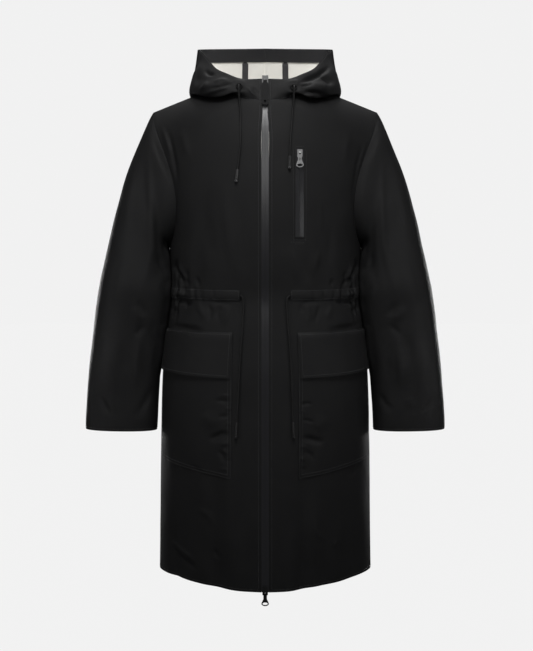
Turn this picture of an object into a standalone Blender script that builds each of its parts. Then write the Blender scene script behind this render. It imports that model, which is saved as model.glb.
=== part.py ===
"""A long hooded raincoat, filled out as if it were worn, with its hood down and its zip closed.

Metres, +Z up. The front faces -Y, and the wearer's left is at +X. The origin lies midway between the highest
points of the two shoulder seams, where the shoulders carry the coat.
"""

import math
from collections import namedtuple

import bmesh
import bpy
import numpy as np

# Cloth and seams
WALL = 0.0018
PATCH_WALL = 0.0014
TRIM_WALL = 0.0010
SEAM_GAP = 0.0003
NOTCH_MERGE = 0.00001
SHOULDER_ROOM_NECK = 0.0005
SHOULDER_ROOM_TIP = 0.0013
ROOM_MARGIN = 0.0004
HOOD_SEAM_GAP = 0.0005
HOOD_NECK_MARGIN = 0.0006

# Main zip: half of the strip between the two front edges, and half of the slit down its middle
ZIP_HALF = 0.0075
TAPE_WALL = 0.0014

# Waist: the drawcord tunnel, and the gathers that the cord makes above and below it
CASING_TOP = -0.413
CASING_BOTTOM = -0.434
CASING_START_X = 0.050
CASING_PUFF = 0.0012
GATHER_REACH_UP = 0.028
GATHER_REACH_DOWN = 0.040
GATHER_DEPTH = 0.0030
GATHER_UNEVEN = (1.0, 0.65, 0.9, 0.5, 0.8, 0.7, 1.0, 0.6, 0.85, 0.55)

# Columns of each panel, as shares of a row's length
FRONT_PLAIN_SHARE = 0.68
FRONT_PLAIN_COLUMNS = 8
FRONT_GATHER_COLUMNS = 10
BACK_HALF_COLUMNS = 11

# One row of a panel: its inner end at the zip, neck or centre back, its outer end at the side, armhole or
# shoulder, how far the arc stays straight at each end, and how much it slopes from the inner end on
Row = namedtuple("Row", "in_x in_y in_z out_x out_y out_z round_in round_out slope")
Z = ZIP_HALF
FRONT_TOP = (
    Row(0.082, 0.000, 0.000, 0.228, 0.000, -0.057, 0.33, 0.33, 1.0),
    Row(0.077, -0.034, -0.008, 0.226, -0.016, -0.078, 0.40, 0.30, 0.8),
    Row(0.064, -0.068, -0.022, 0.216, -0.036, -0.110, 0.45, 0.35, 0.6),
    Row(0.040, -0.094, -0.037, 0.200, -0.054, -0.150, 0.50, 0.40, 0.4),
    Row(Z, -0.105, -0.044, 0.187, -0.065, -0.190, 0.50, 0.50, 0.25),
    Row(Z, -0.119, -0.090, 0.180, -0.068, -0.228, 0.50, 0.50, 0.15),
    Row(Z, -0.131, -0.150, 0.179, -0.063, -0.268, 0.50, 0.50, 0.10),
    Row(Z, -0.139, -0.215, 0.184, -0.046, -0.303, 0.52, 0.50, 0.05),
    Row(Z, -0.143, -0.280, 0.192, -0.021, -0.326, 0.54, 0.50, 0.02),
)
BACK_TOP = (
    Row(0.082, 0.000, 0.000, 0.228, 0.000, -0.057, 0.33, 0.33, 1.0),
    Row(0.074, 0.034, 0.003, 0.226, 0.018, -0.078, 0.40, 0.30, 0.8),
    Row(0.055, 0.058, 0.005, 0.218, 0.040, -0.112, 0.45, 0.35, 0.6),
    Row(0.028, 0.072, 0.006, 0.206, 0.057, -0.152, 0.50, 0.40, 0.4),
    Row(0.000, 0.076, 0.006, 0.197, 0.065, -0.192, 0.50, 0.50, 0.25),
    Row(0.000, 0.098, -0.035, 0.191, 0.065, -0.230, 0.50, 0.50, 0.15),
    Row(0.000, 0.120, -0.105, 0.189, 0.057, -0.268, 0.50, 0.50, 0.10),
    Row(0.000, 0.131, -0.185, 0.191, 0.041, -0.303, 0.52, 0.50, 0.05),
    Row(0.000, 0.134, -0.265, 0.194, 0.019, -0.326, 0.54, 0.50, 0.02),
)

# Below the armpit a row is level: half width at the side seam, depth in front and behind, and the roundness
# of the front arc, which falls towards the hem as the skirt hangs flatter beside the zip
Level = namedtuple("Level", "z half_width front back front_round")
LEVELS = (
    Level(-0.337, 0.1970, 0.1440, 0.132, 0.55),
    Level(-0.372, 0.1970, 0.1430, 0.130, 0.55),
    Level(-0.400, 0.1960, 0.1410, 0.126, 0.55),
    Level(CASING_TOP, 0.1955, 0.1400, 0.124, 0.55),
    Level(CASING_BOTTOM, 0.1955, 0.1400, 0.124, 0.55),
    Level(-0.462, 0.1990, 0.1430, 0.128, 0.55),
    Level(-0.497, 0.2040, 0.1470, 0.133, 0.55),
    Level(-0.540, 0.2080, 0.1510, 0.139, 0.54),
    Level(-0.587, 0.2120, 0.1550, 0.144, 0.52),
    Level(-0.650, 0.2150, 0.1580, 0.149, 0.50),
    Level(-0.716, 0.2165, 0.1610, 0.152, 0.47),
    Level(-0.785, 0.2180, 0.1640, 0.154, 0.44),
    Level(-0.850, 0.2190, 0.1660, 0.156, 0.41),
    Level(-0.912, 0.2200, 0.1680, 0.158, 0.38),
    Level(-0.965, 0.2210, 0.1690, 0.159, 0.35),
    Level(-1.006, 0.2220, 0.1700, 0.160, 0.33),
)
HEM_DIP = 0.007
BACK_ROUND = 0.55
TOP_ROWS = len(FRONT_TOP)
NECK_ROW = 4

# Soft upright folds of the skirt and chest: where along a row, how wide, how deep (+ is a ridge), from and to
Fold = namedtuple("Fold", "share width depth top bottom")
FRONT_LEFT_FOLDS = (
    Fold(0.14, 0.050, 0.0040, -0.60, -1.02),
    Fold(0.26, 0.045, -0.0035, -0.66, -1.02),
    Fold(0.55, 0.060, 0.0040, -0.80, -1.02),
    Fold(0.45, 0.070, -0.0025, -0.20, -0.40),
)
FRONT_RIGHT_FOLDS = (
    Fold(0.20, 0.050, 0.0045, -0.62, -1.02),
    Fold(0.33, 0.045, -0.0035, -0.70, -1.02),
    Fold(0.72, 0.060, -0.0045, -0.84, -1.02),
    Fold(0.50, 0.070, -0.0025, -0.18, -0.40),
)
BACK_FOLDS = (
    Fold(-0.62, 0.080, 0.0050, -0.52, -1.02),
    Fold(-0.30, 0.080, -0.0045, -0.60, -1.02),
    Fold(0.05, 0.090, 0.0050, -0.50, -1.02),
    Fold(0.38, 0.080, -0.0040, -0.66, -1.02),
    Fold(0.70, 0.080, 0.0045, -0.56, -1.02),
    Fold(-0.40, 0.100, -0.0030, -0.16, -0.40),
    Fold(0.45, 0.100, -0.0030, -0.18, -0.40),
)

# Sleeve: each ring lies in a plane through an outer and an inner point, with its depth before and behind
Ring = namedtuple("Ring", "outer_x outer_z inner_x inner_z front back mid_y")
SLEEVE_RINGS = (
    Ring(0.240, -0.079, 0.2035, -0.3375, 0.068, 0.064, 0.000),
    Ring(0.255, -0.113, 0.2060, -0.3400, 0.064, 0.060, 0.000),
    Ring(0.272, -0.154, 0.2050, -0.3460, 0.062, 0.058, 0.000),
    Ring(0.287, -0.195, 0.2000, -0.3540, 0.064, 0.060, -0.001),
    Ring(0.302, -0.246, 0.1960, -0.3660, 0.068, 0.064, -0.002),
    Ring(0.316, -0.300, 0.1930, -0.3840, 0.072, 0.068, -0.003),
    Ring(0.328, -0.353, 0.1930, -0.4060, 0.074, 0.070, -0.005),
    Ring(0.339, -0.401, 0.1960, -0.4340, 0.073, 0.069, -0.007),
    Ring(0.348, -0.452, 0.2010, -0.4720, 0.069, 0.066, -0.009),
    Ring(0.355, -0.508, 0.2080, -0.5200, 0.063, 0.061, -0.011),
    Ring(0.361, -0.560, 0.2140, -0.5670, 0.056, 0.056, -0.013),
    Ring(0.366, -0.610, 0.2190, -0.6140, 0.050, 0.050, -0.015),
    Ring(0.370, -0.660, 0.2225, -0.6620, 0.044, 0.045, -0.017),
    Ring(0.372, -0.707, 0.2250, -0.7090, 0.038, 0.040, -0.019),
)
SLEEVE_SQUARENESS = 2.3
SLEEVE_CLEARANCE = 0.0075
CAP_RINGS = 6

# Folds of a sleeve: ring, direction round it (0 is outside, 90 the front), reach in rings and degrees, depth
Dent = namedtuple("Dent", "ring degrees rings spread depth")
SLEEVE_DENTS = (
    Dent(2.0, 60, 1.6, 26, -0.0060),
    Dent(3.6, 105, 1.2, 24, 0.0050),
    Dent(5.0, 70, 1.4, 24, -0.0060),
    Dent(6.6, 110, 1.2, 28, -0.0050),
    Dent(8.2, 60, 1.0, 30, 0.0040),
    Dent(9.6, 100, 1.1, 30, -0.0050),
    Dent(11.0, 70, 1.0, 28, 0.0040),
    Dent(12.0, 110, 0.9, 28, -0.0040),
    Dent(3.0, 250, 1.5, 30, -0.0060),
    Dent(6.0, 290, 1.4, 28, -0.0050),
    Dent(8.6, 255, 1.2, 30, 0.0045),
    Dent(10.4, 285, 1.1, 30, -0.0045),
)

# Hood, worn down: upright cuts of its cloth, each from the neck seam over a low stand, down to the lowest
# point of its roll, up the outside and to the rim, in millimetres. share counts corners of half the neck seam
Cut = namedtuple("Cut", "share stand over low side rim")
MM = 0.001
HOOD_CUTS = (
    Cut(0.0, (7.5, -102.2, -37), (7.5, -98.4, -27.5), (7.5, -94.2, -17.2), (7.5, -89.8, -6.4), (7.5, -86, 3)),
    Cut(1.0, (41, -96, -31), (43, -98, -24), (45, -96, -15), (46, -90, -5), (46, -84, 3)),
    Cut(2.0, (68, -75, -19), (76, -85, -24), (84, -92, -32), (87, -86, -10), (75, -72, 14)),
    Cut(3.0, (84, -37, -1), (104, -46, -12), (126, -56, -29), (129, -53, -3), (98, -44, 27)),
    Cut(4.0, (90, 0, 9), (118, -1, -2), (151, -3, -20), (149, 0, 8), (115, -4, 48)),
    Cut(5.0, (83, 38, 13), (114, 45, 2), (152, 54, -32), (149, 56, 14), (128, 45, 66)),
    Cut(6.0, (64, 67, 16), (94, 86, -12), (134, 110, -84), (150, 116, -5), (138, 104, 79)),
    Cut(6.5, (50, 78, 17), (78, 108, -36), (108, 148, -125), (145, 162, -30), (137, 150, 86)),
    Cut(7.0, (31, 84, 17), (40, 114, -42), (47, 152, -160), (46, 197, -42), (43, 168, 89)),
    Cut(8.0, (0, 87, 18), (0, 117, -44), (0, 155, -168), (0, 201, -45), (0, 171, 90)),
)
SIDE_PANEL_SHARES = (0, 0.5, 1, 1.5, 2, 2.5, 3, 3.5, 4, 4.5, 5, 5.5, 6, 6.25, 6.5, 6.67, 6.83, 7)
CENTRE_PANEL_SHARES = (7, 7.5, 8)
HOOD_STEPS = 14
HOOD_DENTS = (
    Dent(2.4, 0.62, 0.45, 0.10, 0.0040),
    Dent(3.2, 0.72, 0.45, 0.09, -0.0045),
    Dent(4.2, 0.80, 0.60, 0.08, 0.0035),
    Dent(5.0, 0.66, 0.50, 0.09, -0.0040),
    Dent(6.1, 0.74, 0.35, 0.10, 0.0040),
)
FACING_WIDTH = 0.027
FACING_GAP = 0.0007
FACING_STEPS = 2
SEAM_TAPE_WIDTH = 0.0125
SEAM_TAPE_START = 2
SEAM_TAPE_GAP = 0.0012

# Patch pockets and their flaps, in front of the side: inner edge, share of the row where they end, heights
POCKET_INNER_X = 0.066
POCKET_END_SHARE = 0.895
POCKET_TOP = -0.512
POCKET_BOTTOM_INNER = -0.788
POCKET_BOTTOM_OUTER = -0.765
POCKET_FULLNESS = 0.0050
POCKET_STEPS = 8
FLAP_TOP = -0.497
FLAP_BOTTOM_INNER = -0.587
FLAP_BOTTOM_OUTER = -0.581
FLAP_INNER_TOP_X = 0.064
FLAP_INNER_BOTTOM_X = 0.069
FLAP_DOWN = (0.0, 0.11, 0.32, 0.55, 0.78, 1.0)
FLAP_LIFT = 0.0050

# Chest zip on the left front: middle of its strip, its ends, and the bonded frame round it
CHEST_ZIP_X = 0.0675
CHEST_ZIP_TOP = -0.136
CHEST_ZIP_BOTTOM = -0.308
CHEST_STRIP_HALF = 0.0078
CHEST_FRAME_WIDTH = 0.0030
CHEST_ZIP_STEPS = 8
CHEST_ZIP_LIFT = 0.0004

# Sliders and their pulls: the pull's top bar turns inside a bridge on the slider's face
SLIDER_PLATE = 0.0022
SLIDER_GAP = 0.0005
SLIDER_BACK = 0.0014
BRIDGE_INNER = 0.0015
BRIDGE_OUTER = 0.0025
BRIDGE_HALF_WIDTH = 0.0014
CHEST_SLIDER_GAP = 0.0014
PULL_THICKNESS = 0.0016
PULL_BAR = 0.0008
PULL_HOLE_HALF = 0.0021
PULL_HOLE_REACH = 0.0034
BRIDGE_STAND = 0.0013

Slider = namedtuple("Slider", "name half_width top bottom hinge")
TOP_SLIDER = Slider("zip_slider_top", 0.0060, 0.0060, -0.0160, -0.0050)
BOTTOM_SLIDER = Slider("zip_slider_bottom", 0.0055, 0.0120, -0.0050, -0.0010)
CHEST_SLIDER = Slider("chest_zip_slider", 0.0050, 0.0020, -0.0130, -0.0050)

# Cords: round, with a turned end piece; hand-picked points down the front, from the opening to the end piece
CORD_RADIUS = 0.0022
CORD_SPACING = 0.0090
END_RADIUS = 0.0028
HOOD_END_BARREL = 0.019
WAIST_END_BARREL = 0.026
END_KNOT_RADIUS = 0.0034
CORD_ROUTES = {
    "hood_cord_left": (
        (0.0564, -0.0966, -0.0149),
        (0.0569, -0.1005, -0.0132),
        (0.0572, -0.1040, -0.0126),
        (0.0572, -0.1072, -0.0155),
        (0.0570, -0.1080, -0.0220),
        (0.0566, -0.1076, -0.0300),
        (0.0560, -0.1072, -0.0420),
        (0.0545, -0.1090, -0.0580),
        (0.0524, -0.1159, -0.0850),
        (0.0502, -0.1236, -0.1120),
        (0.0492, -0.1282, -0.1320),
        (0.0486, -0.1320, -0.1500),
    ),
    "hood_cord_right": (
        (-0.0513, -0.0963, -0.0127),
        (-0.0516, -0.1002, -0.0109),
        (-0.0519, -0.1038, -0.0102),
        (-0.0520, -0.1070, -0.0130),
        (-0.0519, -0.1079, -0.0200),
        (-0.0514, -0.1075, -0.0290),
        (-0.0505, -0.1072, -0.0410),
        (-0.0492, -0.1092, -0.0550),
        (-0.0480, -0.1142, -0.0780),
        (-0.0479, -0.1222, -0.1050),
        (-0.0488, -0.1276, -0.1300),
        (-0.0540, -0.1344, -0.1760),
    ),
    "waist_cord_left": (
        (0.0490, -0.1404, -0.4235),
        (0.0455, -0.1407, -0.4245),
        (0.0435, -0.1412, -0.4300),
        (0.0430, -0.1427, -0.4440),
        (0.0442, -0.1455, -0.4720),
        (0.0485, -0.1501, -0.5220),
        (0.0516, -0.1539, -0.5720),
        (0.0538, -0.1570, -0.6230),
        (0.0555, -0.1602, -0.6730),
    ),
    "waist_cord_right": (
        (-0.0490, -0.1404, -0.4235),
        (-0.0455, -0.1407, -0.4245),
        (-0.0435, -0.1412, -0.4300),
        (-0.0430, -0.1427, -0.4440),
        (-0.0438, -0.1455, -0.4720),
        (-0.0474, -0.1501, -0.5220),
        (-0.0505, -0.1539, -0.5720),
        (-0.0534, -0.1570, -0.6230),
        (-0.0560, -0.1602, -0.6730),
    ),
}

# Eyelets of the hood cord: how far along the neck, how far up the cloth, and the ring's radii
EYELET_RING = 0.0056
EYELET_THICKNESS = 0.0011

PARTS = bpy.data.collections.new("raincoat")
CUTTERS = bpy.data.collections.new("raincoat_cutters")


def material(name, colour, roughness, metallic=0.0):
    made = bpy.data.materials.get(name) or bpy.data.materials.new(name)
    made.use_nodes = True
    shader = made.node_tree.nodes["Principled BSDF"]
    shader.inputs["Base Color"].default_value = (*colour, 1.0)
    shader.inputs["Roughness"].default_value = roughness
    shader.inputs["Metallic"].default_value = metallic
    return made


def shell_cloth():
    return material("black_shell", (0.012, 0.012, 0.013), 0.75)


def coated_tape():
    return material("coated_tape", (0.030, 0.031, 0.034), 0.35)


def dark_trim():
    return material("dark_trim", (0.010, 0.010, 0.011), 0.6)


def gunmetal():
    return material("gunmetal", (0.16, 0.16, 0.17), 0.3, 1.0)


def cord_yarn():
    return material("cord_yarn", (0.011, 0.011, 0.012), 0.85)


# ---------------------------------------------------------------- curves and grids of points


def unit(vectors):
    return vectors / np.maximum(np.linalg.norm(vectors, axis=-1, keepdims=True), 1e-12)


def smooth_curve(knots, keys, at):
    """A curve through the keys, each at its knot, read at one value or several."""
    knots = np.asarray(knots, float)
    keys = np.asarray(keys, float)
    at = np.atleast_1d(np.asarray(at, float))
    slopes = np.gradient(keys, knots, axis=0)
    left = np.clip(np.searchsorted(knots, at, side="right") - 1, 0, len(knots) - 2)
    span = (knots[left + 1] - knots[left])[:, None]
    t = (at[:, None] - knots[left][:, None]) / span
    start = (2 * t**3 - 3 * t**2 + 1) * keys[left]
    leave = (t**3 - 2 * t**2 + t) * span * slopes[left]
    arrive = (t**3 - t**2) * span * slopes[left + 1]
    return start + leave + (3 * t**2 - 2 * t**3) * keys[left + 1] + arrive


def spaced(line, shares):
    """Points at the given shares of a polyline's length."""
    line = np.asarray(line, float)
    run = np.concatenate([[0.0], np.cumsum(np.linalg.norm(np.diff(line, axis=0), axis=1))])
    wanted = np.asarray(shares) * run[-1]
    return np.stack([np.interp(wanted, run, line[:, k]) for k in range(3)], axis=-1)


def row_points(row, shares):
    """A row as a cubic arc that leaves its inner end sideways and reaches its outer end going back."""
    inner = np.array([row.in_x, row.in_y, row.in_z])
    outer = np.array([row.out_x, row.out_y, row.out_z])
    reach = outer - inner
    near = inner + row.round_in * reach * (1.0, 0.0, row.slope)
    far = outer - reach * (row.slope / 3, row.round_out, 1.0 / 3)
    t = np.linspace(0, 1, 65)[:, None]
    arc = (1 - t) ** 3 * inner + 3 * (1 - t) ** 2 * t * near + 3 * (1 - t) * t**2 * far + t**3 * outer
    return spaced(arc, shares)


def level_row(level, depth, in_x, roundness, dip):
    return Row(in_x, depth, level.z - dip, level.half_width, 0.0, level.z, roundness, roundness, 0.0)


def panel_rows(top, in_x, depth_name, shares, roundness=None):
    """All rows of a panel's half, from the shoulder seam to the hem, at the given shares."""
    rows = [row_points(row, shares) for row in top]
    for level in LEVELS:
        depth = getattr(level, depth_name) * (-1 if depth_name == "front" else 1)
        bend = level.front_round if roundness is None else roundness
        dip = HEM_DIP if level is LEVELS[-1] else 0.0
        rows.append(row_points(level_row(level, depth, in_x, bend, dip), shares))
    return np.array(rows)


def normals(grid):
    """A unit normal at each point of a grid, out of the side that +row x +column faces."""
    down = np.gradient(grid, axis=0)
    across = np.gradient(grid, axis=1)
    return unit(np.cross(down, across))


def read(grid, rows, columns):
    """Points of a grid at fractional rows and columns, which lie on its flat facets."""
    rows, columns = np.broadcast_arrays(np.asarray(rows, float), np.asarray(columns, float))
    r = np.clip(np.floor(rows).astype(int), 0, grid.shape[0] - 2)
    c = np.clip(np.floor(columns).astype(int), 0, grid.shape[1] - 2)
    v = (rows - r)[..., None]
    u = (columns - c)[..., None]
    upper = grid[r, c] * (1 - u) + grid[r, c + 1] * u
    lower = grid[r + 1, c] * (1 - u) + grid[r + 1, c + 1] * u
    return upper * (1 - v) + lower * v


def column_at_x(grid, row, x):
    """The fractional column where a row of the grid passes x."""
    line = read(grid, row, np.arange(grid.shape[1]))[:, 0]
    return float(np.interp(x, np.abs(line), np.arange(len(line))))


def row_at_z(grid, column, z):
    """The fractional row where a column of the grid passes z."""
    line = read(grid, np.arange(grid.shape[0]), column)[:, 2]
    return float(np.interp(-z, -line, np.arange(len(line))))


def between(low, high):
    """low, every whole number between, and high: edges that follow a panel's own columns or rows."""
    whole = [k for k in range(math.ceil(low), math.floor(high) + 1) if low + 0.15 < k < high - 0.15]
    return np.array([low, *whole, high])


def room_between(first, second):
    """How far a wall's edge keeps from a seam line where two walls meet at an angle, given both directions."""
    cosine = np.clip(np.sum(unit(first) * unit(second), axis=-1), -0.9999, 0.9)
    return SEAM_GAP + ROOM_MARGIN + WALL / 2 * np.sqrt((1 + cosine) / (1 - cosine))


def square_to(directions, line_way):
    """The part of each direction that is square to the seam's own direction."""
    line_way = unit(line_way)
    return directions - line_way * np.sum(directions * line_way, axis=-1, keepdims=True)


def bump(values, centre, width):
    return np.exp(-(((values - centre) / width) ** 2))


def rise(values, low, high):
    t = np.clip((values - low) / (high - low), 0, 1)
    return t * t * (3 - 2 * t)


# ---------------------------------------------------------------- body panels


def gathers(grid, signs):
    """How far the waist gathers lift each point: crests and hollows alternate from column to column."""
    z = grid[..., 2]
    middle = (CASING_TOP + CASING_BOTTOM) / 2
    reach = np.where(z > middle, GATHER_REACH_UP, GATHER_REACH_DOWN)
    return GATHER_DEPTH * signs[None, :] * bump(z, middle, reach)


def folds(grid, shares, table):
    """How far the long soft folds lift each point."""
    z = grid[..., 2]
    lift = np.zeros(z.shape)
    for fold in table:
        ends = rise(-z, -fold.top, -fold.top + 0.12) * rise(z, fold.bottom - 0.05, fold.bottom + 0.02)
        lift += fold.depth * bump(np.asarray(shares)[None, :], fold.share, fold.width) * ends
    return lift


def front_shares():
    plain = np.linspace(0, FRONT_PLAIN_SHARE, FRONT_PLAIN_COLUMNS + 1)
    gathered = np.linspace(FRONT_PLAIN_SHARE, 1, FRONT_GATHER_COLUMNS + 1)
    return np.concatenate([plain, gathered[1:]])


def front_signs():
    signs = np.zeros(FRONT_PLAIN_COLUMNS + FRONT_GATHER_COLUMNS + 1)
    for k in range(FRONT_GATHER_COLUMNS - 1):
        signs[FRONT_PLAIN_COLUMNS + 1 + k] = GATHER_UNEVEN[k] * (1 if k % 2 == 0 else -0.6)
    return signs


def front_grid(table):
    """The front panel at +X: rows from the shoulder seam to the hem, columns from the zip to the side."""
    shares = front_shares()
    grid = panel_rows(FRONT_TOP, ZIP_HALF, "front", shares)
    lift = gathers(grid, front_signs()) + folds(grid, shares, table)
    edge = rise(shares, 0.0, 0.05) * rise(1 - shares, 0.0, 0.05)
    return grid + normals(grid) * (lift * edge[None, :])[..., None]


def back_grid():
    """The back panel: columns from the right side over the centre to the left side."""
    shares = np.linspace(0, 1, BACK_HALF_COLUMNS + 1)
    half = panel_rows(BACK_TOP, 0.0, "back", shares, BACK_ROUND)
    other = half[:, :0:-1] * (-1, 1, 1)
    grid = np.concatenate([other, half], axis=1)
    across = np.concatenate([-shares[:0:-1], shares])
    signs = np.array([GATHER_UNEVEN[k % 10] * (1 if k % 2 else -0.6) for k in range(len(across))])
    lift = gathers(grid, signs) + folds(grid, across, BACK_FOLDS)
    edge = rise(1 - np.abs(across), 0.0, 0.06)
    return grid - normals(grid) * (lift * edge[None, :])[..., None]


def mirrored(grid):
    return grid * (-1, 1, 1)


def side_of_body(front, back, y, z):
    """The body's half width at a height and depth, read from both panels."""
    grid = front if y < 0 else back[:, BACK_HALF_COLUMNS:]
    widths = []
    heights = []
    for row in grid[TOP_ROWS:]:
        depth = np.abs(row[::-1, 1])
        widths.append(np.interp(abs(y), np.maximum.accumulate(depth), row[::-1, 0]))
        heights.append(-row[-1, 2])
    return float(np.interp(-z, heights, widths))


# ---------------------------------------------------------------- sleeves


def ellipse_ring(outer, inner, front, back, mid_y, angles):
    """A ring through an outer and an inner point, squarer than an ellipse."""
    middle = (outer + inner) / 2 + (0, mid_y, 0)
    half = (outer - inner) / 2
    power = 2 / SLEEVE_SQUARENESS
    along = np.sign(np.cos(angles)) * np.abs(np.cos(angles)) ** power
    across = np.sign(np.sin(angles)) * np.abs(np.sin(angles)) ** power
    depth = np.where(across > 0, front, back)
    return middle + along[:, None] * half - (across * depth)[:, None] * np.array([0, 1.0, 0])


def sleeve_grid(front, back):
    """The sleeve at +X: rows are rings from the armhole to the cuff, and the last column meets the first."""
    half_back = back[:, BACK_HALF_COLUMNS:]
    forward = front[: TOP_ROWS + 1, -1]
    rearward = half_back[: TOP_ROWS + 1, -1][::-1]
    loop = np.concatenate([forward, rearward[1:-1]])
    count = TOP_ROWS + 1
    angles = np.concatenate([np.linspace(0, math.pi, count), np.linspace(math.pi, 2 * math.pi, count)[1:-1]])
    tip = loop[0]
    pit = loop[TOP_ROWS]
    start = ellipse_ring(tip, pit, 0.068, 0.065, 0.0, angles)
    left_over = loop - start
    rings = []
    for k, ring in enumerate(SLEEVE_RINGS, 1):
        outer = np.array([ring.outer_x, 0, ring.outer_z])
        inner = np.array([ring.inner_x, 0, ring.inner_z])
        made = ellipse_ring(outer, inner, ring.front, ring.back, ring.mid_y, angles)
        fade = max(0.0, 1 - k / CAP_RINGS) ** 2
        rings.append(made + left_over * fade)
    inward = np.concatenate([front[:count, -2] - forward, (half_back[:count, -2] - half_back[:count, -1])[::-1][1:-1]])
    seam_way = np.roll(loop, -1, axis=0) - np.roll(loop, 1, axis=0)
    inward = square_to(inward, seam_way)
    outward = square_to(rings[0] - loop, seam_way)
    away = loop + unit(outward) * room_between(inward, outward)[:, None]
    grid = np.array([away, *rings])
    grid = grid + sleeve_folds(grid, angles)
    for ring in grid[1:]:
        for point in ring:
            if point[2] < LEVELS[0].z + 0.02:
                side = side_of_body(front, back, point[1], point[2])
                point[0] = max(point[0], side + SLEEVE_CLEARANCE)
    return np.concatenate([grid, grid[:, :1]], axis=1)


def sleeve_folds(grid, angles):
    """Shifts of the sleeve's points that make its dents and ridges."""
    out = unit(grid - grid.mean(axis=1, keepdims=True))
    ring = np.arange(len(grid))[:, None]
    degrees = np.degrees(angles)[None, :]
    lift = np.zeros(grid.shape[:2])
    for dent in SLEEVE_DENTS:
        turn = (degrees - dent.degrees + 180) % 360 - 180
        lift += dent.depth * bump(ring, dent.ring, dent.rings) * bump(turn, 0, dent.spread)
    lift[0] = 0
    return out * lift[..., None]


# ---------------------------------------------------------------- hood


def neck_line(front, back):
    """Corners of half the neck seam, from the zip to the centre back, and the panel's direction at each."""
    half_back = back[:, BACK_HALF_COLUMNS:]
    corners = [front[r, 0] for r in range(NECK_ROW, -1, -1)] + [half_back[r, 0] for r in range(1, NECK_ROW + 1)]
    into = [front[r, 1] - front[r, 0] for r in range(NECK_ROW, -1, -1)]
    into += [half_back[r, 1] - half_back[r, 0] for r in range(1, NECK_ROW)]
    into += [half_back[NECK_ROW + 1, 0] - half_back[NECK_ROW, 0]]
    into[0] = front[NECK_ROW + 1, 0] - front[NECK_ROW, 0]
    return np.array(corners), np.array(into)


def hood_grid(front, back, shares):
    """Part of the hood at +X: rows from the neck seam to the rim, columns at the given shares."""
    corners, into = neck_line(front, back)
    knots = [cut.share for cut in HOOD_CUTS]
    whole = np.arange(len(corners))
    keys = []
    for part in ("stand", "over", "low", "side", "rim"):
        keys.append(smooth_curve(knots, [getattr(cut, part) for cut in HOOD_CUTS], shares) * MM)
    seam = np.stack([np.interp(shares, whole, corners[:, k]) for k in range(3)], axis=-1)
    panel_way = np.stack([np.interp(shares, whole, into[:, k]) for k in range(3)], axis=-1)
    seam_way = np.gradient(seam, axis=0)
    away = unit(square_to(keys[0] - seam, seam_way))
    room = room_between(square_to(panel_way, seam_way), away) + HOOD_NECK_MARGIN
    start = seam + away * room[:, None]
    columns = []
    for j in range(len(shares)):
        profile = np.array([start[j], *(key[j] for key in keys)])
        run = np.concatenate([[0], np.cumsum(np.sqrt(np.linalg.norm(np.diff(profile, axis=0), axis=1)))])
        fine = smooth_curve(run, profile, np.linspace(0, run[-1], 60))
        columns.append(spaced(fine, np.linspace(0, 1, HOOD_STEPS + 1)))
    grid = np.stack(columns, axis=1)
    grid = grid + hood_folds(grid, np.asarray(shares))
    if shares[0] == 0:
        grid[:, 0, 0] = ZIP_HALF
    return grid


def hood_folds(grid, shares):
    up = np.linspace(0, 1, grid.shape[0])[:, None]
    lift = np.zeros(grid.shape[:2])
    for dent in HOOD_DENTS:
        lift += dent.depth * bump(shares[None, :], dent.ring, dent.rings) * bump(up, dent.degrees, dent.spread)
    ends = rise(up, 0.05, 0.3) * rise(1 - up, 0.0, 0.12) * rise(7 - shares, 0.0, 0.5)[None, :]
    return -normals(grid) * (lift * ends)[..., None]


# ---------------------------------------------------------------- solids


def add(obj, paint, collection=PARTS):
    collection.objects.link(obj)
    obj.data.materials.clear()
    obj.data.materials.append(paint)
    return obj


def cloth(name, grid, thickness, paint, closed=False, notch=None):
    """A wall round a grid of points: the grid as faces, given its thickness by Solidify. The faces of the
    right side start at another corner, so that their diagonals mirror the left side's. A notch is a pair of
    columns with no faces between them: they are joined where their points meet, and stay open above."""
    rows, columns = grid.shape[:2]
    if closed:
        columns -= 1
    points = grid[:, :columns].reshape(-1, 3)
    faces = []
    for r in range(rows - 1):
        for c in range(columns if closed else columns - 1):
            if c == notch:
                continue
            after = (c + 1) % columns
            face = (r * columns + c, (r + 1) * columns + c, (r + 1) * columns + after, r * columns + after)
            right = points[face[0]][0] + points[face[3]][0] < 0
            faces.append(face[1:] + face[:1] if right else face)
    mesh = bpy.data.meshes.new(name)
    mesh.from_pydata([tuple(p) for p in points], [], faces)
    mesh.shade_smooth()
    obj = add(bpy.data.objects.new(name, mesh), paint)
    if notch is not None:
        join = obj.modifiers.new("join", "WELD")
        join.merge_threshold = NOTCH_MERGE
    wall = obj.modifiers.new("wall", "SOLIDIFY")
    wall.thickness = thickness
    wall.offset = 0
    return obj


def trimmed(grid, left=0.0, right=0.0, top=0.0, bottom=0.0):
    """The grid with its edges drawn in by the given widths, which leaves the gaps at its seams."""
    made = grid.copy()
    made[:, 0] += unit(grid[:, 1] - grid[:, 0]) * left
    made[:, -1] += unit(grid[:, -2] - grid[:, -1]) * right
    made[0] += unit(made[1] - made[0]) * top
    made[-1] += unit(made[-2] - made[-1]) * bottom
    return made


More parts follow.
